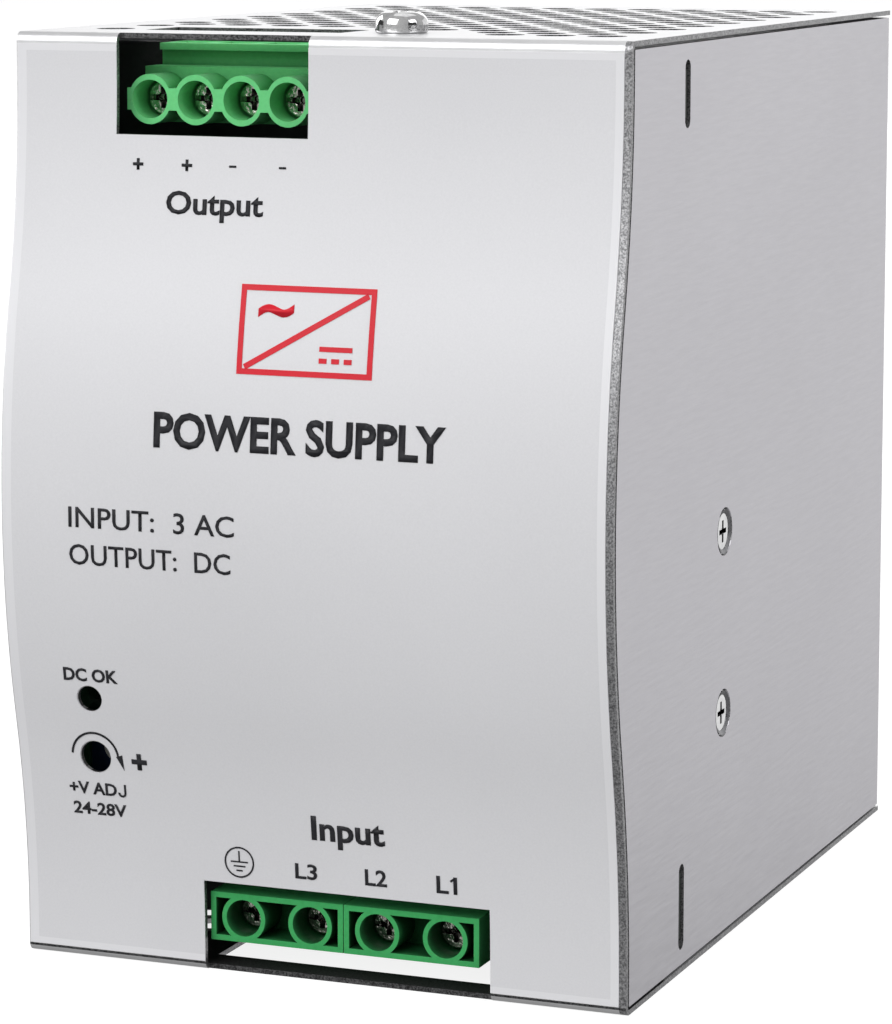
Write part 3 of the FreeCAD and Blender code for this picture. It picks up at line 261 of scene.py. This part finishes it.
front_sheet = finish("front_sheet", (0.70, 0.70, 0.71), (0.60, 0.60, 0.61), (0.34, 0.46),
                     metal=0.8, grain=0.0006, cloud=0.03, bump=0.12, stretch=(0.12, 1, 1))
rear_sheet = finish("rear_sheet", (0.60, 0.59, 0.62), (0.50, 0.49, 0.52), (0.34, 0.46),
                    metal=0.75, grain=0.0006, cloud=0.045, bump=0.18, stretch=(1, 0.10, 1))


speck_scale = 4200.0


def darken_edges_and_paint_shade(coat, tones, tests):
    """Paints chosen faces of a sheet, such as its cut edges, in a darker, mottled tone; where
    shade falls this is painted shade.

    A point is painted where all the tests of one group hold: on its place, on the way
    that it is facing, or on how far it is leaning to either side.
    """
    tree = coat.node_tree
    shader = tree.nodes["Principled BSDF"]
    plain = shader.inputs["Base Color"].links[0].from_socket
    facing = tree.nodes.new("ShaderNodeNewGeometry")
    normal = tree.nodes.new("ShaderNodeSeparateXYZ")
    tree.links.new(facing.outputs["True Normal"], normal.inputs["Vector"])
    place = split_place(tree, "Object")
    mask = None
    for group in tests:
        part = None
        for kind, side, test, limit in group:
            value = place[side] if kind == "place" else normal.outputs[side]
            if kind == "leaning":
                value = add_math(tree, "ABSOLUTE", value)
            step = add_math(tree, test, value, limit)
            part = step if part is None else add_math(tree, "MULTIPLY", part, step)
        mask = part if mask is None else add_math(tree, "MAXIMUM", mask, part)
    specks = add_noise(tree, tree.nodes["Texture Coordinate"].outputs["Object"], speck_scale, 2.0)
    low_tone, high_tone = tones
    mottle = add_tones(tree, specks, 0.35, (low_tone, low_tone, low_tone * 1.04),
                       0.70, (high_tone, high_tone, high_tone * 1.02))
    tree.links.new(mix_tones(tree, mask, plain, mottle), shader.inputs["Base Color"])


film_low, film_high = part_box("front_label")
front_face = film_low.y
front_wall_end = front_face + 0.0095
perforation_start = front_face + 0.0105
wire_slot_end = front_face + 0.022
bare_strip_start = film_high.x + 0.00002
floor_cut_top = 0.0012
floor_face = 0.0025
front_wall_low, front_wall_high = 0.002, 0.1235
roof_inside = 0.1236
roof_cut_low = 0.1243
rear_flange_start = 0.05
edge_tones = (0.12, 0.42)
window_shade_tones = (0.025, 0.16)
darken_edges_and_paint_shade(front_sheet, edge_tones, (
    (("leaning", "X", "GREATER_THAN", 0.7),),
    (("leaning", "Z", "LESS_THAN", 0.5), ("place", "Y", "GREATER_THAN", perforation_start),
     ("place", "Z", "GREATER_THAN", roof_inside)),
    (("facing", "Y", "LESS_THAN", -0.3), ("place", "X", "GREATER_THAN", bare_strip_start)),
))
# Painted shade: the cut faces round the windows and the floor plate's upper face seen in them are
# painted near black for the shade inside the case.
darken_edges_and_paint_shade(front_sheet, window_shade_tones, (
    (("leaning", "Z", "GREATER_THAN", 0.9), ("place", "Y", "LESS_THAN", front_wall_end),
     ("place", "Z", "GREATER_THAN", front_wall_low), ("place", "Z", "LESS_THAN", front_wall_high)),
    (("facing", "Y", "LESS_THAN", -0.97), ("place", "Z", "GREATER_THAN", roof_cut_low)),
    (("facing", "Y", "LESS_THAN", -0.97), ("place", "Z", "LESS_THAN", floor_cut_top)),
    (("facing", "Z", "GREATER_THAN", 0.9), ("place", "Z", "LESS_THAN", floor_face),
     ("place", "Y", "LESS_THAN", wire_slot_end)),
))
darken_edges_and_paint_shade(rear_sheet, edge_tones, (
    (("leaning", "Z", "GREATER_THAN", 0.7),),
    (("facing", "Y", "LESS_THAN", -0.7), ("place", "Y", "LESS_THAN", rear_flange_start)),
))
dress(front_sheet, "front_shell")
dress(rear_sheet, "rear_shell")


# ---------------------------------------------------------------------------
# The front label: a thin polyester film, printed silver with a paler border
# all round, cut out round the windows and the two small holes, and glued on.
# ---------------------------------------------------------------------------
border_left = 0.0013
border_right = 0.0011
border_end = 0.0009
border_tone = (0.72, 0.72, 0.74, 1)
label_film = finish("label_film", (0.680, 0.680, 0.700), (0.630, 0.630, 0.650),
                    (0.46, 0.56), metal=0.06, grain=0.00025, cloud=0.05, bump=0.10,
                    Specular_IOR_Level=0.35)


def add_label_border(coat, low, high):
    """Turns the film paler outside a rectangle set in from the film's own edges."""
    tree = coat.node_tree
    shader = tree.nodes["Principled BSDF"]
    plain = shader.inputs["Base Color"].links[0].from_socket
    place = split_place(tree, "Object")
    outside = add_math(tree, "LESS_THAN", place["X"], low.x + border_left)
    for side, test, limit in (("X", "GREATER_THAN", high.x - border_right),
                              ("Z", "LESS_THAN", low.z + border_end),
                              ("Z", "GREATER_THAN", high.z - border_end)):
        outside = add_math(tree, "MAXIMUM", outside, add_math(tree, test, place[side], limit))
    tree.links.new(mix_tones(tree, outside, plain, border_tone), shader.inputs["Base Color"])


add_label_border(label_film, film_low, film_high)
dress(label_film, "front_label")


# ---------------------------------------------------------------------------
# The printing on the label: screen-printed dark ink for the terminal and
# control names, in a plain upright face, a thin skin that follows the wave.
# Places and sizes of prints are in millimetres.
# ---------------------------------------------------------------------------
dark_ink = finish("dark_ink", (0.022, 0.022, 0.026), (0.012, 0.012, 0.015), (0.45, 0.58),
                  grain=0.0002, cloud=0.01, bump=0.08, Specular_IOR_Level=0.25)
red_ink = finish("red_ink", (0.66, 0.012, 0.028), (0.58, 0.009, 0.022), (0.42, 0.55),
                 grain=0.0002, cloud=0.01, bump=0.08, Specular_IOR_Level=0.3)
mm = 0.001
print_gap = 0.00004
print_skin = 0.00003
print_step = 0.0010
print_weld = 1e-7
print_start = film_low.y - 0.01
upright = math.pi / 2


def lay_on_label(piece, ink):
    """Cuts a flat print into level strips, lays it on the waved film and gives it its skin."""
    mesh = bmesh.new()
    mesh.from_mesh(piece.data)
    low = min(v.co.z for v in mesh.verts)
    high = max(v.co.z for v in mesh.verts)
    level = math.ceil(low / print_step) * print_step
    while level < high:
        bmesh.ops.bisect_plane(mesh, geom=mesh.verts[:] + mesh.edges[:] + mesh.faces[:],
                               plane_co=(0, 0, level), plane_no=(0, 0, 1))
        level += print_step
    bmesh.ops.remove_doubles(mesh, verts=mesh.verts[:], dist=print_weld)
    mesh.to_mesh(piece.data)
    mesh.free()
    wrap = piece.modifiers.new("on_film", "SHRINKWRAP")
    wrap.target = parts["front_label"]
    wrap.wrap_method = "PROJECT"
    wrap.use_project_y = True
    wrap.use_positive_direction = True
    wrap.use_negative_direction = True
    wrap.offset = print_gap
    skin = piece.modifiers.new("skin", "SOLIDIFY")
    skin.thickness = print_skin
    skin.offset = 1
    bpy.context.view_layer.objects.active = piece
    bpy.ops.object.modifier_apply(modifier="on_film")
    bpy.ops.object.modifier_apply(modifier="skin")
    piece.data.materials.clear()
    piece.data.materials.append(ink)
    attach(piece, "case")


def print_words(name, words, left, right, low, high, ink, weight=0.0):
    """Prints words between two sides and two levels on the label."""
    bpy.ops.object.select_all(action="DESELECT")
    bpy.ops.object.text_add()
    piece = bpy.context.object
    piece.name = name
    piece.data.body = words
    piece.data.offset = weight
    piece.data.resolution_u = 3
    bpy.ops.object.convert(target="MESH")
    piece = bpy.context.object
    xs = [v.co.x for v in piece.data.vertices]
    ys = [v.co.y for v in piece.data.vertices]
    wide = (right - left) * mm / (max(xs) - min(xs))
    tall = (high - low) * mm / (max(ys) - min(ys))
    piece.rotation_euler = (upright, 0, 0)
    piece.scale = (wide, tall, 1)
    piece.location = (left * mm - min(xs) * wide, print_start, low * mm - min(ys) * tall)
    bpy.ops.object.transform_apply(location=True, rotation=True, scale=True)
    piece.data.name = name
    lay_on_label(piece, ink)


def flat_ring(x, z, radius, width):
    """A flat upright ring in front of the label."""
    bpy.ops.object.select_all(action="DESELECT")
    bpy.ops.mesh.primitive_circle_add(vertices=64, radius=radius * mm, fill_type="NGON",
                                      location=(x * mm, print_start, z * mm),
                                      rotation=(upright, 0, 0))
    piece = bpy.context.object
    bpy.ops.object.mode_set(mode="EDIT")
    bpy.ops.mesh.select_mode(type="FACE")
    bpy.ops.mesh.select_all(action="SELECT")
    bpy.ops.mesh.inset(thickness=width * mm)
    bpy.ops.mesh.delete(type="FACE")
    bpy.ops.object.mode_set(mode="OBJECT")
    bpy.ops.object.transform_apply(location=True, rotation=True, scale=True)
    return piece


def flat_bar(x, z, wide, tall, turn=0.0):
    """A flat upright bar in front of the label, turned by an angle."""
    bpy.ops.object.select_all(action="DESELECT")
    bpy.ops.mesh.primitive_plane_add(size=1.0)
    piece = bpy.context.object
    piece.scale = (wide * mm, tall * mm, 1)
    bpy.ops.object.transform_apply(location=False, rotation=False, scale=True)
    piece.rotation_euler = (upright, turn, 0)
    piece.location = (x * mm, print_start, z * mm)
    bpy.ops.object.transform_apply(location=True, rotation=True, scale=True)
    return piece


def join_flat(name, pieces):
    """Joins flat prints into one piece."""
    bpy.ops.object.select_all(action="DESELECT")
    for piece in pieces:
        piece.select_set(True)
    bpy.context.view_layer.objects.active = pieces[0]
    bpy.ops.object.join()
    pieces[0].name = name
    pieces[0].data.name = name
    return pieces[0]


def clear_below(piece, x, z, lean):
    """Cuts away the half of a flat print that lies under a leaning line."""
    bpy.ops.object.select_all(action="DESELECT")
    piece.select_set(True)
    bpy.context.view_layer.objects.active = piece
    bpy.ops.object.mode_set(mode="EDIT")
    bpy.ops.mesh.select_all(action="SELECT")
    bpy.ops.mesh.bisect(plane_co=(x * mm, 0, z * mm),
                        plane_no=(math.sin(lean), 0, math.cos(lean)), clear_inner=True)
    bpy.ops.object.mode_set(mode="OBJECT")


print_words("print_output", "Output", -20.7, -6.8, 100.7, 104.7, dark_ink, 0.021)
print_words("print_input", "Input", -0.5, 9.95, 18.6, 23.0, dark_ink, 0.026)
print_words("print_dc_ok", "DC OK", -35.0, -27.0, 39.1, 40.95, dark_ink, 0.028)
print_words("print_v_adj", "+V AD", -35.8, -28.75, 23.05, 24.8, dark_ink, 0.024)
hook_x, hook_z, hook_radius, hook_line = -27.93, 23.6, 0.60, 0.30
hook = flat_ring(hook_x, hook_z, hook_radius, hook_line)
clear_below(hook, hook_x, hook_z, math.pi)
stem = flat_bar(hook_x + hook_radius - hook_line / 2, hook_z + 0.59, hook_line, 1.24)
lay_on_label(join_flat("print_v_adj_end", [hook, stem]), dark_ink)
print_words("print_plus_adjust", "+", -26.15, -23.9, 27.1, 29.4, dark_ink, 0.04)
print_words("print_l3", "L3", -3.1, 0.05, 14.05, 16.2, dark_ink, 0.018)
print_words("print_l2", "L2", 6.9, 10.0, 14.1, 16.35, dark_ink, 0.018)
print_words("print_l1", "L1", 17.0, 19.9, 14.05, 16.4, dark_ink, 0.018)
flag = flat_bar(19.27, 15.98, 0.75, 0.3, -0.6)
flag.name = flag.data.name = "print_l1_flag"
lay_on_label(flag, dark_ink)
pole_signs = {"+": (0.75, 0.75), "-": (0.5, 0.14)}
pole_level = 108.0
for number, (x, mark) in enumerate(((-24.96, "+"), (-17.91, "+"), (-11.34, "-"), (-4.28, "-"))):
    half_wide, half_tall = pole_signs[mark]
    print_words("print_pole_%d" % (number + 1), mark, x - half_wide, x + half_wide,
                pole_level - half_tall, pole_level + half_tall, dark_ink, 0.03)
print_words("print_range", "24-28V", -35.4, -27.5, 20.2, 21.95, dark_ink, 0.024)

earth_x, earth_z, earth_line = -11.2, 15.5, 0.2
earth = [flat_ring(earth_x, earth_z, 2.15, 0.22),
         flat_bar(earth_x, earth_z + 0.8, earth_line, 1.5)]
for width, drop in ((2.5, -0.05), (1.7, 0.55), (0.9, 1.15)):
    earth.append(flat_bar(earth_x, earth_z - drop, width, earth_line))
lay_on_label(join_flat("print_earth", earth), dark_ink)

dial_x, dial_z, dial_radius, dial_line = -31.5, 28.45, 3.55, 0.30
arrow_radius = 0.75
arrow_stretch = (0.75, -1.9, 1)
arrow_turn = -0.30
sweep = flat_ring(dial_x, dial_z, dial_radius, dial_line)
clear_below(sweep, dial_x, dial_z + 0.3, 0.0)
bpy.ops.object.select_all(action="DESELECT")
bpy.ops.mesh.primitive_circle_add(vertices=3, radius=arrow_radius * mm, fill_type="NGON")
arrow = bpy.context.object
arrow.scale = arrow_stretch
bpy.ops.object.transform_apply(location=False, rotation=False, scale=True)
arrow.rotation_euler = (upright, arrow_turn, 0)
arrow.location = ((dial_x + dial_radius + 0.2) * mm, print_start, (dial_z - 0.3) * mm)
bpy.ops.object.transform_apply(location=True, rotation=True, scale=True)
lay_on_label(join_flat("print_sweep", [sweep, arrow]), dark_ink)


# ---------------------------------------------------------------------------
# The middle of the label: a plain red converter sign, alternating current in
# and direct current out, over the title and the two supply lines in dark ink.
# ---------------------------------------------------------------------------
sign_x, sign_z, sign_wide, sign_tall, sign_line = 0.4, 87.3, 19.0, 11.5, 0.75
inner_wide, inner_tall = sign_wide - 2 * sign_line, sign_tall - 2 * sign_line
direct_x, direct_wide, direct_line = sign_x + 4.3, 4.6, 0.65
dash_wide, dash_pitch = 1.1, 1.75
sign = []
for way in (-1, 1):
    sign.append(flat_bar(sign_x, sign_z + way * (sign_tall - sign_line) / 2, sign_wide, sign_line))
    sign.append(flat_bar(sign_x + way * (sign_wide - sign_line) / 2, sign_z, sign_line,
                         inner_tall))
sign.append(flat_bar(sign_x, sign_z, math.hypot(inner_tall, inner_wide) - sign_line, sign_line,
                     -math.atan2(inner_tall, inner_wide)))
sign.append(flat_bar(direct_x, sign_z - 2.1, direct_wide, direct_line))
for step in (-1, 0, 1):
    sign.append(flat_bar(direct_x + step * dash_pitch, sign_z - 3.6, dash_wide, direct_line))
lay_on_label(join_flat("print_converter", sign), red_ink)
print_words("print_wave", "~", sign_x - 6.9, sign_x - 1.9, sign_z + 1.6, sign_z + 3.4,
            red_ink, 0.02)
print_words("print_title", "POWER SUPPLY", -20.6, 20.4, 71.4, 76.2, dark_ink, 0.03)
print_words("print_in_line", "INPUT:  3 AC", -33.0, -9.0, 60.2, 63.0, dark_ink, 0.006)
print_words("print_out_line", "OUTPUT:  DC", -33.0, -9.6, 55.2, 58.0, dark_ink, 0.006)


# ---------------------------------------------------------------------------
# The terminal blocks: moulded green polyamide with a slight sheen, a bright
# green for the output poles and a deeper one for the two input blocks.
# ---------------------------------------------------------------------------
output_green = finish("output_green", (0.17, 0.66, 0.25), (0.14, 0.58, 0.215), (0.44, 0.56),
                      grain=0.0006, cloud=0.012, bump=0.10, Subsurface_Weight=0.05,
                      Subsurface_Scale=0.002, Specular_IOR_Level=0.04)
input_green = finish("input_green", (0.06, 0.39, 0.125), (0.048, 0.33, 0.10), (0.44, 0.56),
                     grain=0.0006, cloud=0.012, bump=0.10, Subsurface_Weight=0.05,
                     Subsurface_Scale=0.002, Specular_IOR_Level=0.04)
recess_span = (0.25, 0.85)


def paint_recess_shade(coat, reach, least, alone=True):
    """Paints shade into a finish's colour, darker down in recesses, in the piece alone or between
    neighbours.
    """
    tree = coat.node_tree
    shader = tree.nodes["Principled BSDF"]
    plain = shader.inputs["Base Color"].links[0].from_socket
    recess = tree.nodes.new("ShaderNodeAmbientOcclusion")
    recess.only_local = alone
    recess.samples = 12
    recess.inputs["Distance"].default_value = reach
    depth = add_range(tree, recess.outputs["AO"], recess_span, (least, 1.0))
    tree.links.new(mix_tones(tree, 1.0, plain, depth, "MULTIPLY"), shader.inputs["Base Color"])


# Painted shade: both greens are painted darker in their recesses and where neighbouring parts
# crowd them.
paint_recess_shade(output_green, 0.003, 0.50, alone=False)
paint_recess_shade(input_green, 0.009, 0.18, alone=False)
dress(output_green, "output_terminal_housing")
dress(input_green, "input_terminal_housing_left", "input_terminal_housing_right")


# ---------------------------------------------------------------------------
# The metal of the terminals and the other screws: nickel-plated cross-slotted
# terminal screws in zinc-plated folded cages, tinned copper contact bars, and
# bright zinc-plated screws that hold the case, the boards and the rail clip.
# ---------------------------------------------------------------------------
nickel = finish("nickel", (0.92, 0.90, 0.84), (0.42, 0.40, 0.36), (0.05, 0.18), metal=1.0,
                grain=0.0007, cloud=0.0012, bump=0.9)
# Painted shade: the nickel is painted darker in the slots and hollows of the terminal screws.
paint_recess_shade(nickel, 0.0016, 0.02)
bright_plating = finish("bright_plating", (0.74, 0.74, 0.74), (0.52, 0.52, 0.53), (0.06, 0.14),
                        metal=1.0, grain=0.0005, cloud=0.003, bump=0.10)
# Painted shade: the plated case screws are painted darker in their recesses.
paint_recess_shade(bright_plating, 0.0014, 0.03)
zinc = finish("zinc", (0.62, 0.62, 0.63), (0.50, 0.50, 0.52), (0.30, 0.44), metal=1.0,
              grain=0.0004, cloud=0.004, bump=0.15)
tinned_copper = finish("tinned_copper", (0.66, 0.65, 0.62), (0.56, 0.55, 0.52), (0.34, 0.50),
                       metal=1.0, grain=0.0004, cloud=0.003, bump=0.15)
for pole in range(1, 5):
    dress(nickel, "output_screw_%d" % pole, "input_screw_%d" % pole)
    dress(zinc, "output_clamp_%d" % pole, "input_clamp_%d" % pole)
dress(tinned_copper, "terminal_contacts", "fuse_clips")
dress(bright_plating, "side_screws", "top_screw")
dress(zinc, "rear_screws", "clip_screws", "pressed_inserts", "board_screws")


# ---------------------------------------------------------------------------
# The dished rims round the two side screws: the sheet is pressed in round
# each flush head, and the ring of the dimple is painted dark as painted shade.
# ---------------------------------------------------------------------------
dimple_painted_shade = finish("dimple_painted_shade", (0.26, 0.26, 0.27), (0.12, 0.12, 0.13), (0.22, 0.34), metal=0.9,
                    grain=0.0004, cloud=0.002, bump=0.2)
rim_inner = 0.00248
rim_drop = 0.00022
rim_wall = 0.00004
rim_clear = 0.00005
rim_smooth = math.radians(40)
head_low, head_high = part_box("side_screws")
head_radius = (head_high.y - head_low.y) / 2
for number, centre_z in enumerate((head_low.z + head_radius, head_high.z - head_radius)):
    bpy.ops.object.select_all(action="DESELECT")
    bpy.ops.mesh.primitive_cone_add(
        vertices=72, radius1=head_radius, radius2=rim_inner, depth=rim_drop,
        end_fill_type="NOTHING", rotation=(0, -math.pi / 2, 0),
        location=(head_high.x + rim_clear + rim_drop / 2, head_low.y + head_radius, centre_z))
    rim = bpy.context.object
    rim.name = rim.data.name = "side_dimple_%d" % (number + 1)
    bpy.ops.object.transform_apply(location=True, rotation=True, scale=True)
    bpy.ops.object.mode_set(mode="EDIT")
    bpy.ops.mesh.select_all(action="SELECT")
    bpy.ops.mesh.flip_normals()
    bpy.ops.object.mode_set(mode="OBJECT")
    wall = rim.modifiers.new("wall", "SOLIDIFY")
    wall.thickness = rim_wall
    wall.offset = -1
    bpy.ops.object.modifier_apply(modifier="wall")
    bpy.ops.object.shade_smooth_by_angle(angle=rim_smooth)
    rim.data.materials.append(dimple_painted_shade)
    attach(rim, "case")


# ---------------------------------------------------------------------------
# The boards: glass-epoxy laminate under a green solder mask, standing off the
# left wall of the case with a white insulating film between.
# ---------------------------------------------------------------------------
solder_mask = finish("solder_mask", (0.016, 0.075, 0.030), (0.009, 0.048, 0.018), (0.28, 0.42),
                     grain=0.0010, cloud=0.008, bump=0.2)
dark_mask = finish("dark_mask", (0.010, 0.017, 0.013), (0.006, 0.010, 0.008), (0.35, 0.50),
                   grain=0.0010, cloud=0.008, bump=0.2)
insulating_film = finish("insulating_film", (0.80, 0.80, 0.76), (0.72, 0.72, 0.68),
                         (0.45, 0.60), grain=0.0008, cloud=0.02, bump=0.1)
dress(solder_mask, "main_board", "control_card")
dress(dark_mask, "output_board", "input_board")
dress(insulating_film, "insulation_sheet")


# ---------------------------------------------------------------------------
# The lamp and the trimmer behind the front: a tinted lens in a black holder,
# and a dark blue square potentiometer with a pale slotted rotor.
# ---------------------------------------------------------------------------
lamp_lens = finish("lamp_lens", (0.03, 0.10, 0.035), (0.02, 0.07, 0.025), (0.10, 0.18),
                   grain=0.0008, cloud=0.004, bump=0.05)
black_moulding = finish("black_moulding", (0.028, 0.028, 0.030), (0.018, 0.018, 0.019),
                        (0.36, 0.50), grain=0.0006, cloud=0.01, bump=0.15)
trimmer_blue = finish("trimmer_blue", (0.006, 0.016, 0.050), (0.004, 0.011, 0.036), (0.36, 0.48),
                      grain=0.0005, cloud=0.01, bump=0.1, Specular_IOR_Level=0.3)
rotor_white = finish("rotor_white", (0.72, 0.71, 0.66), (0.62, 0.61, 0.56), (0.38, 0.5),
                     grain=0.0005, cloud=0.005, bump=0.1)
dress(lamp_lens, "status_led")
dress(black_moulding, "led_holder", "power_transistors", "output_rectifiers",
      "transformer_bobbin", "inrush_relay")
dress(trimmer_blue, "trimmer_body")
dress(rotor_white, "trimmer_rotor")


# ---------------------------------------------------------------------------
# The power parts on the main board: extruded heat sinks, ferrite cores, taped
# and enamelled windings, sleeved cans, moulded film capacitors and fuses.
# ---------------------------------------------------------------------------
sink_aluminium = finish("sink_aluminium", (0.55, 0.555, 0.56), (0.45, 0.455, 0.46),
                        (0.36, 0.50), metal=0.9, grain=0.0005, cloud=0.02, bump=0.15,
                        stretch=(1, 1, 0.1))
ferrite = finish("ferrite", (0.075, 0.075, 0.082), (0.05, 0.05, 0.055), (0.45, 0.62),
                 metal=0.2, grain=0.0006, cloud=0.01, bump=0.3)
yellow_tape = finish("yellow_tape", (0.72, 0.50, 0.06), (0.64, 0.43, 0.045), (0.22, 0.34),
                     grain=0.0010, cloud=0.01, bump=0.15, stretch=(1, 1, 0.2))
enamelled_copper = finish("enamelled_copper", (0.55, 0.20, 0.07), (0.42, 0.14, 0.05),
                          (0.22, 0.36), metal=0.9, grain=0.0005, cloud=0.006, bump=0.2)
can_sleeve = finish("can_sleeve", (0.018, 0.028, 0.060), (0.012, 0.019, 0.042), (0.26, 0.38),
                    grain=0.0008, cloud=0.015, bump=0.1)
film_box = finish("film_box", (0.70, 0.50, 0.05), (0.62, 0.43, 0.04), (0.34, 0.46),
                  grain=0.0006, cloud=0.01, bump=0.12)
dipped_blue = finish("dipped_blue", (0.03, 0.10, 0.36), (0.02, 0.075, 0.28), (0.34, 0.46),
                     grain=0.0010, cloud=0.006, bump=0.35)
fuse_ceramic = finish("fuse_ceramic", (0.78, 0.76, 0.70), (0.70, 0.68, 0.62), (0.40, 0.52),
                      grain=0.0006, cloud=0.008, bump=0.1)
dress(sink_aluminium, "transistor_sink", "rectifier_sink")
dress(ferrite, "transformer_core", "input_choke_core")
dress(yellow_tape, "transformer_winding")
dress(film_box, "output_choke_core", "film_capacitors")
dress(can_sleeve, "bulk_capacitors", "output_capacitors")
dress(dipped_blue, "varistors")
dress(fuse_ceramic, "fuses")


# ---------------------------------------------------------------------------
# The windings of the two chokes: round enamelled copper wire, laid turn by
# turn through the hole of each ring core and drawn tight over its corners.
# ---------------------------------------------------------------------------
wire_smooth = math.radians(60)


def wind_choke(name, node, core, wire, starts, span, turns):
    """Lays turns of wire over a ring core, in sectors that start at the given angles."""
    low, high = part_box(core)
    outer, inner, thick = (high.y - low.y) / 2, core_holes[core], high.x - low.x
    middle = (low + high) / 2
    lay = (outer + inner) / 2
    bpy.ops.object.select_all(action="DESELECT")
    bpy.ops.mesh.primitive_plane_add(size=1.0)
    loop = bpy.context.object
    loop.scale = (thick + wire, outer - inner + wire, 1)
    bpy.ops.object.transform_apply(location=False, rotation=False, scale=True)
    bpy.ops.object.mode_set(mode="EDIT")
    bpy.ops.mesh.select_mode(type="VERT")
    bpy.ops.mesh.select_all(action="SELECT")
    bpy.ops.mesh.bevel(offset=wire / 2, segments=3, affect="VERTICES")
    bpy.ops.mesh.select_all(action="SELECT")
    bpy.ops.mesh.delete(type="ONLY_FACE")
    bpy.ops.object.mode_set(mode="OBJECT")
    bpy.ops.object.convert(target="CURVE")
    loop = bpy.context.object
    loop.data.bevel_depth = wire / 2
    loop.data.bevel_resolution = 1
    bpy.ops.object.convert(target="MESH")
    loop = bpy.context.object
    laid = []
    for start in starts:
        for step in range(turns):
            angle = math.radians(start + span * (step + 0.5) / turns)
            turn = loop.copy()
            turn.data = loop.data.copy()
            turn.rotation_euler = (angle, 0, 0)
            turn.location = (middle.x, middle.y + lay * math.cos(angle),
                             middle.z + lay * math.sin(angle))
            scene.collection.objects.link(turn)
            laid.append(turn)
    bpy.data.objects.remove(loop)
    winding = join_flat(name, laid)
    bpy.ops.object.transform_apply(location=True, rotation=True, scale=True)
    bpy.ops.object.mode_set(mode="EDIT")
    bpy.ops.mesh.select_all(action="SELECT")
    bpy.ops.mesh.normals_make_consistent(inside=False)
    bpy.ops.object.mode_set(mode="OBJECT")
    bpy.ops.object.shade_smooth_by_angle(angle=wire_smooth)
    winding.data.materials.clear()
    winding.data.materials.append(enamelled_copper)
    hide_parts(node)
    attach(winding, "case")


core_holes = {"input_choke_core": 0.0060, "output_choke_core": 0.0044}
wind_choke("input_choke_wire", "input_choke_windings", "input_choke_core",
           0.0010, (-150, -30, 90), 88, 8)
wind_choke("output_choke_wire", "output_choke_windings", "output_choke_core",
           0.0012, (-90, 90), 150, 8)


# ---------------------------------------------------------------------------
# The rail clip and the small angle under the top screw: punched and folded
# steel, zinc plated, the clip screwed to the back of the case.
# ---------------------------------------------------------------------------
clip_plating = finish("clip_plating", (0.76, 0.77, 0.79), (0.64, 0.65, 0.67), (0.26, 0.38),
                      metal=1.0, grain=0.0005, cloud=0.01, bump=0.15)
dress(clip_plating, "rail_bracket", "rail_latch", "top_bracket")


# ---------------------------------------------------------------------------
# The latch spring: a coil of round zinc-plated wire on the bracket's seat. It
# pushes the latch up under the rail.
# ---------------------------------------------------------------------------
spring_turns = 9
spring_steps = 28
spring_wire = 0.00025
wire_sides = 8
wire_weld = 0.000001
spring_low, spring_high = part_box("latch_spring")
spring_y = (spring_low.y + spring_high.y) / 2
spring_radius = (spring_high.x - spring_low.x) / 2 - spring_wire
bpy.ops.object.select_all(action="DESELECT")
bpy.ops.mesh.primitive_circle_add(vertices=wire_sides, radius=spring_wire,
                                  rotation=(upright, 0, 0), location=(spring_radius, 0, 0))
coil = bpy.context.object
coil.name = coil.data.name = "latch_coil"
bpy.ops.object.transform_apply(location=True, rotation=True, scale=True)
wind = coil.modifiers.new("wind", "SCREW")
wind.axis = "Z"
wind.steps = wind.render_steps = spring_steps
wind.iterations = spring_turns
wind.screw_offset = (spring_high.z - spring_low.z - 2 * spring_wire) / spring_turns
bpy.ops.object.modifier_apply(modifier="wind")
bpy.ops.object.mode_set(mode="EDIT")
bpy.ops.mesh.select_mode(type="VERT")
bpy.ops.mesh.select_all(action="SELECT")
bpy.ops.mesh.remove_doubles(threshold=wire_weld)
bpy.ops.mesh.select_all(action="DESELECT")
bpy.ops.mesh.select_non_manifold()
bpy.ops.mesh.fill_holes(sides=wire_sides)
bpy.ops.mesh.select_all(action="SELECT")
bpy.ops.mesh.normals_make_consistent(inside=False)
bpy.ops.object.mode_set(mode="OBJECT")
coil.location = (0, spring_y, spring_low.z + spring_wire)
bpy.ops.object.transform_apply(location=True, rotation=True, scale=True)
bpy.ops.object.shade_smooth_by_angle(angle=wire_smooth)
coil.data.materials.append(zinc)
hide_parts("latch_spring")
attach(coil, "case")
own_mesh(coil)
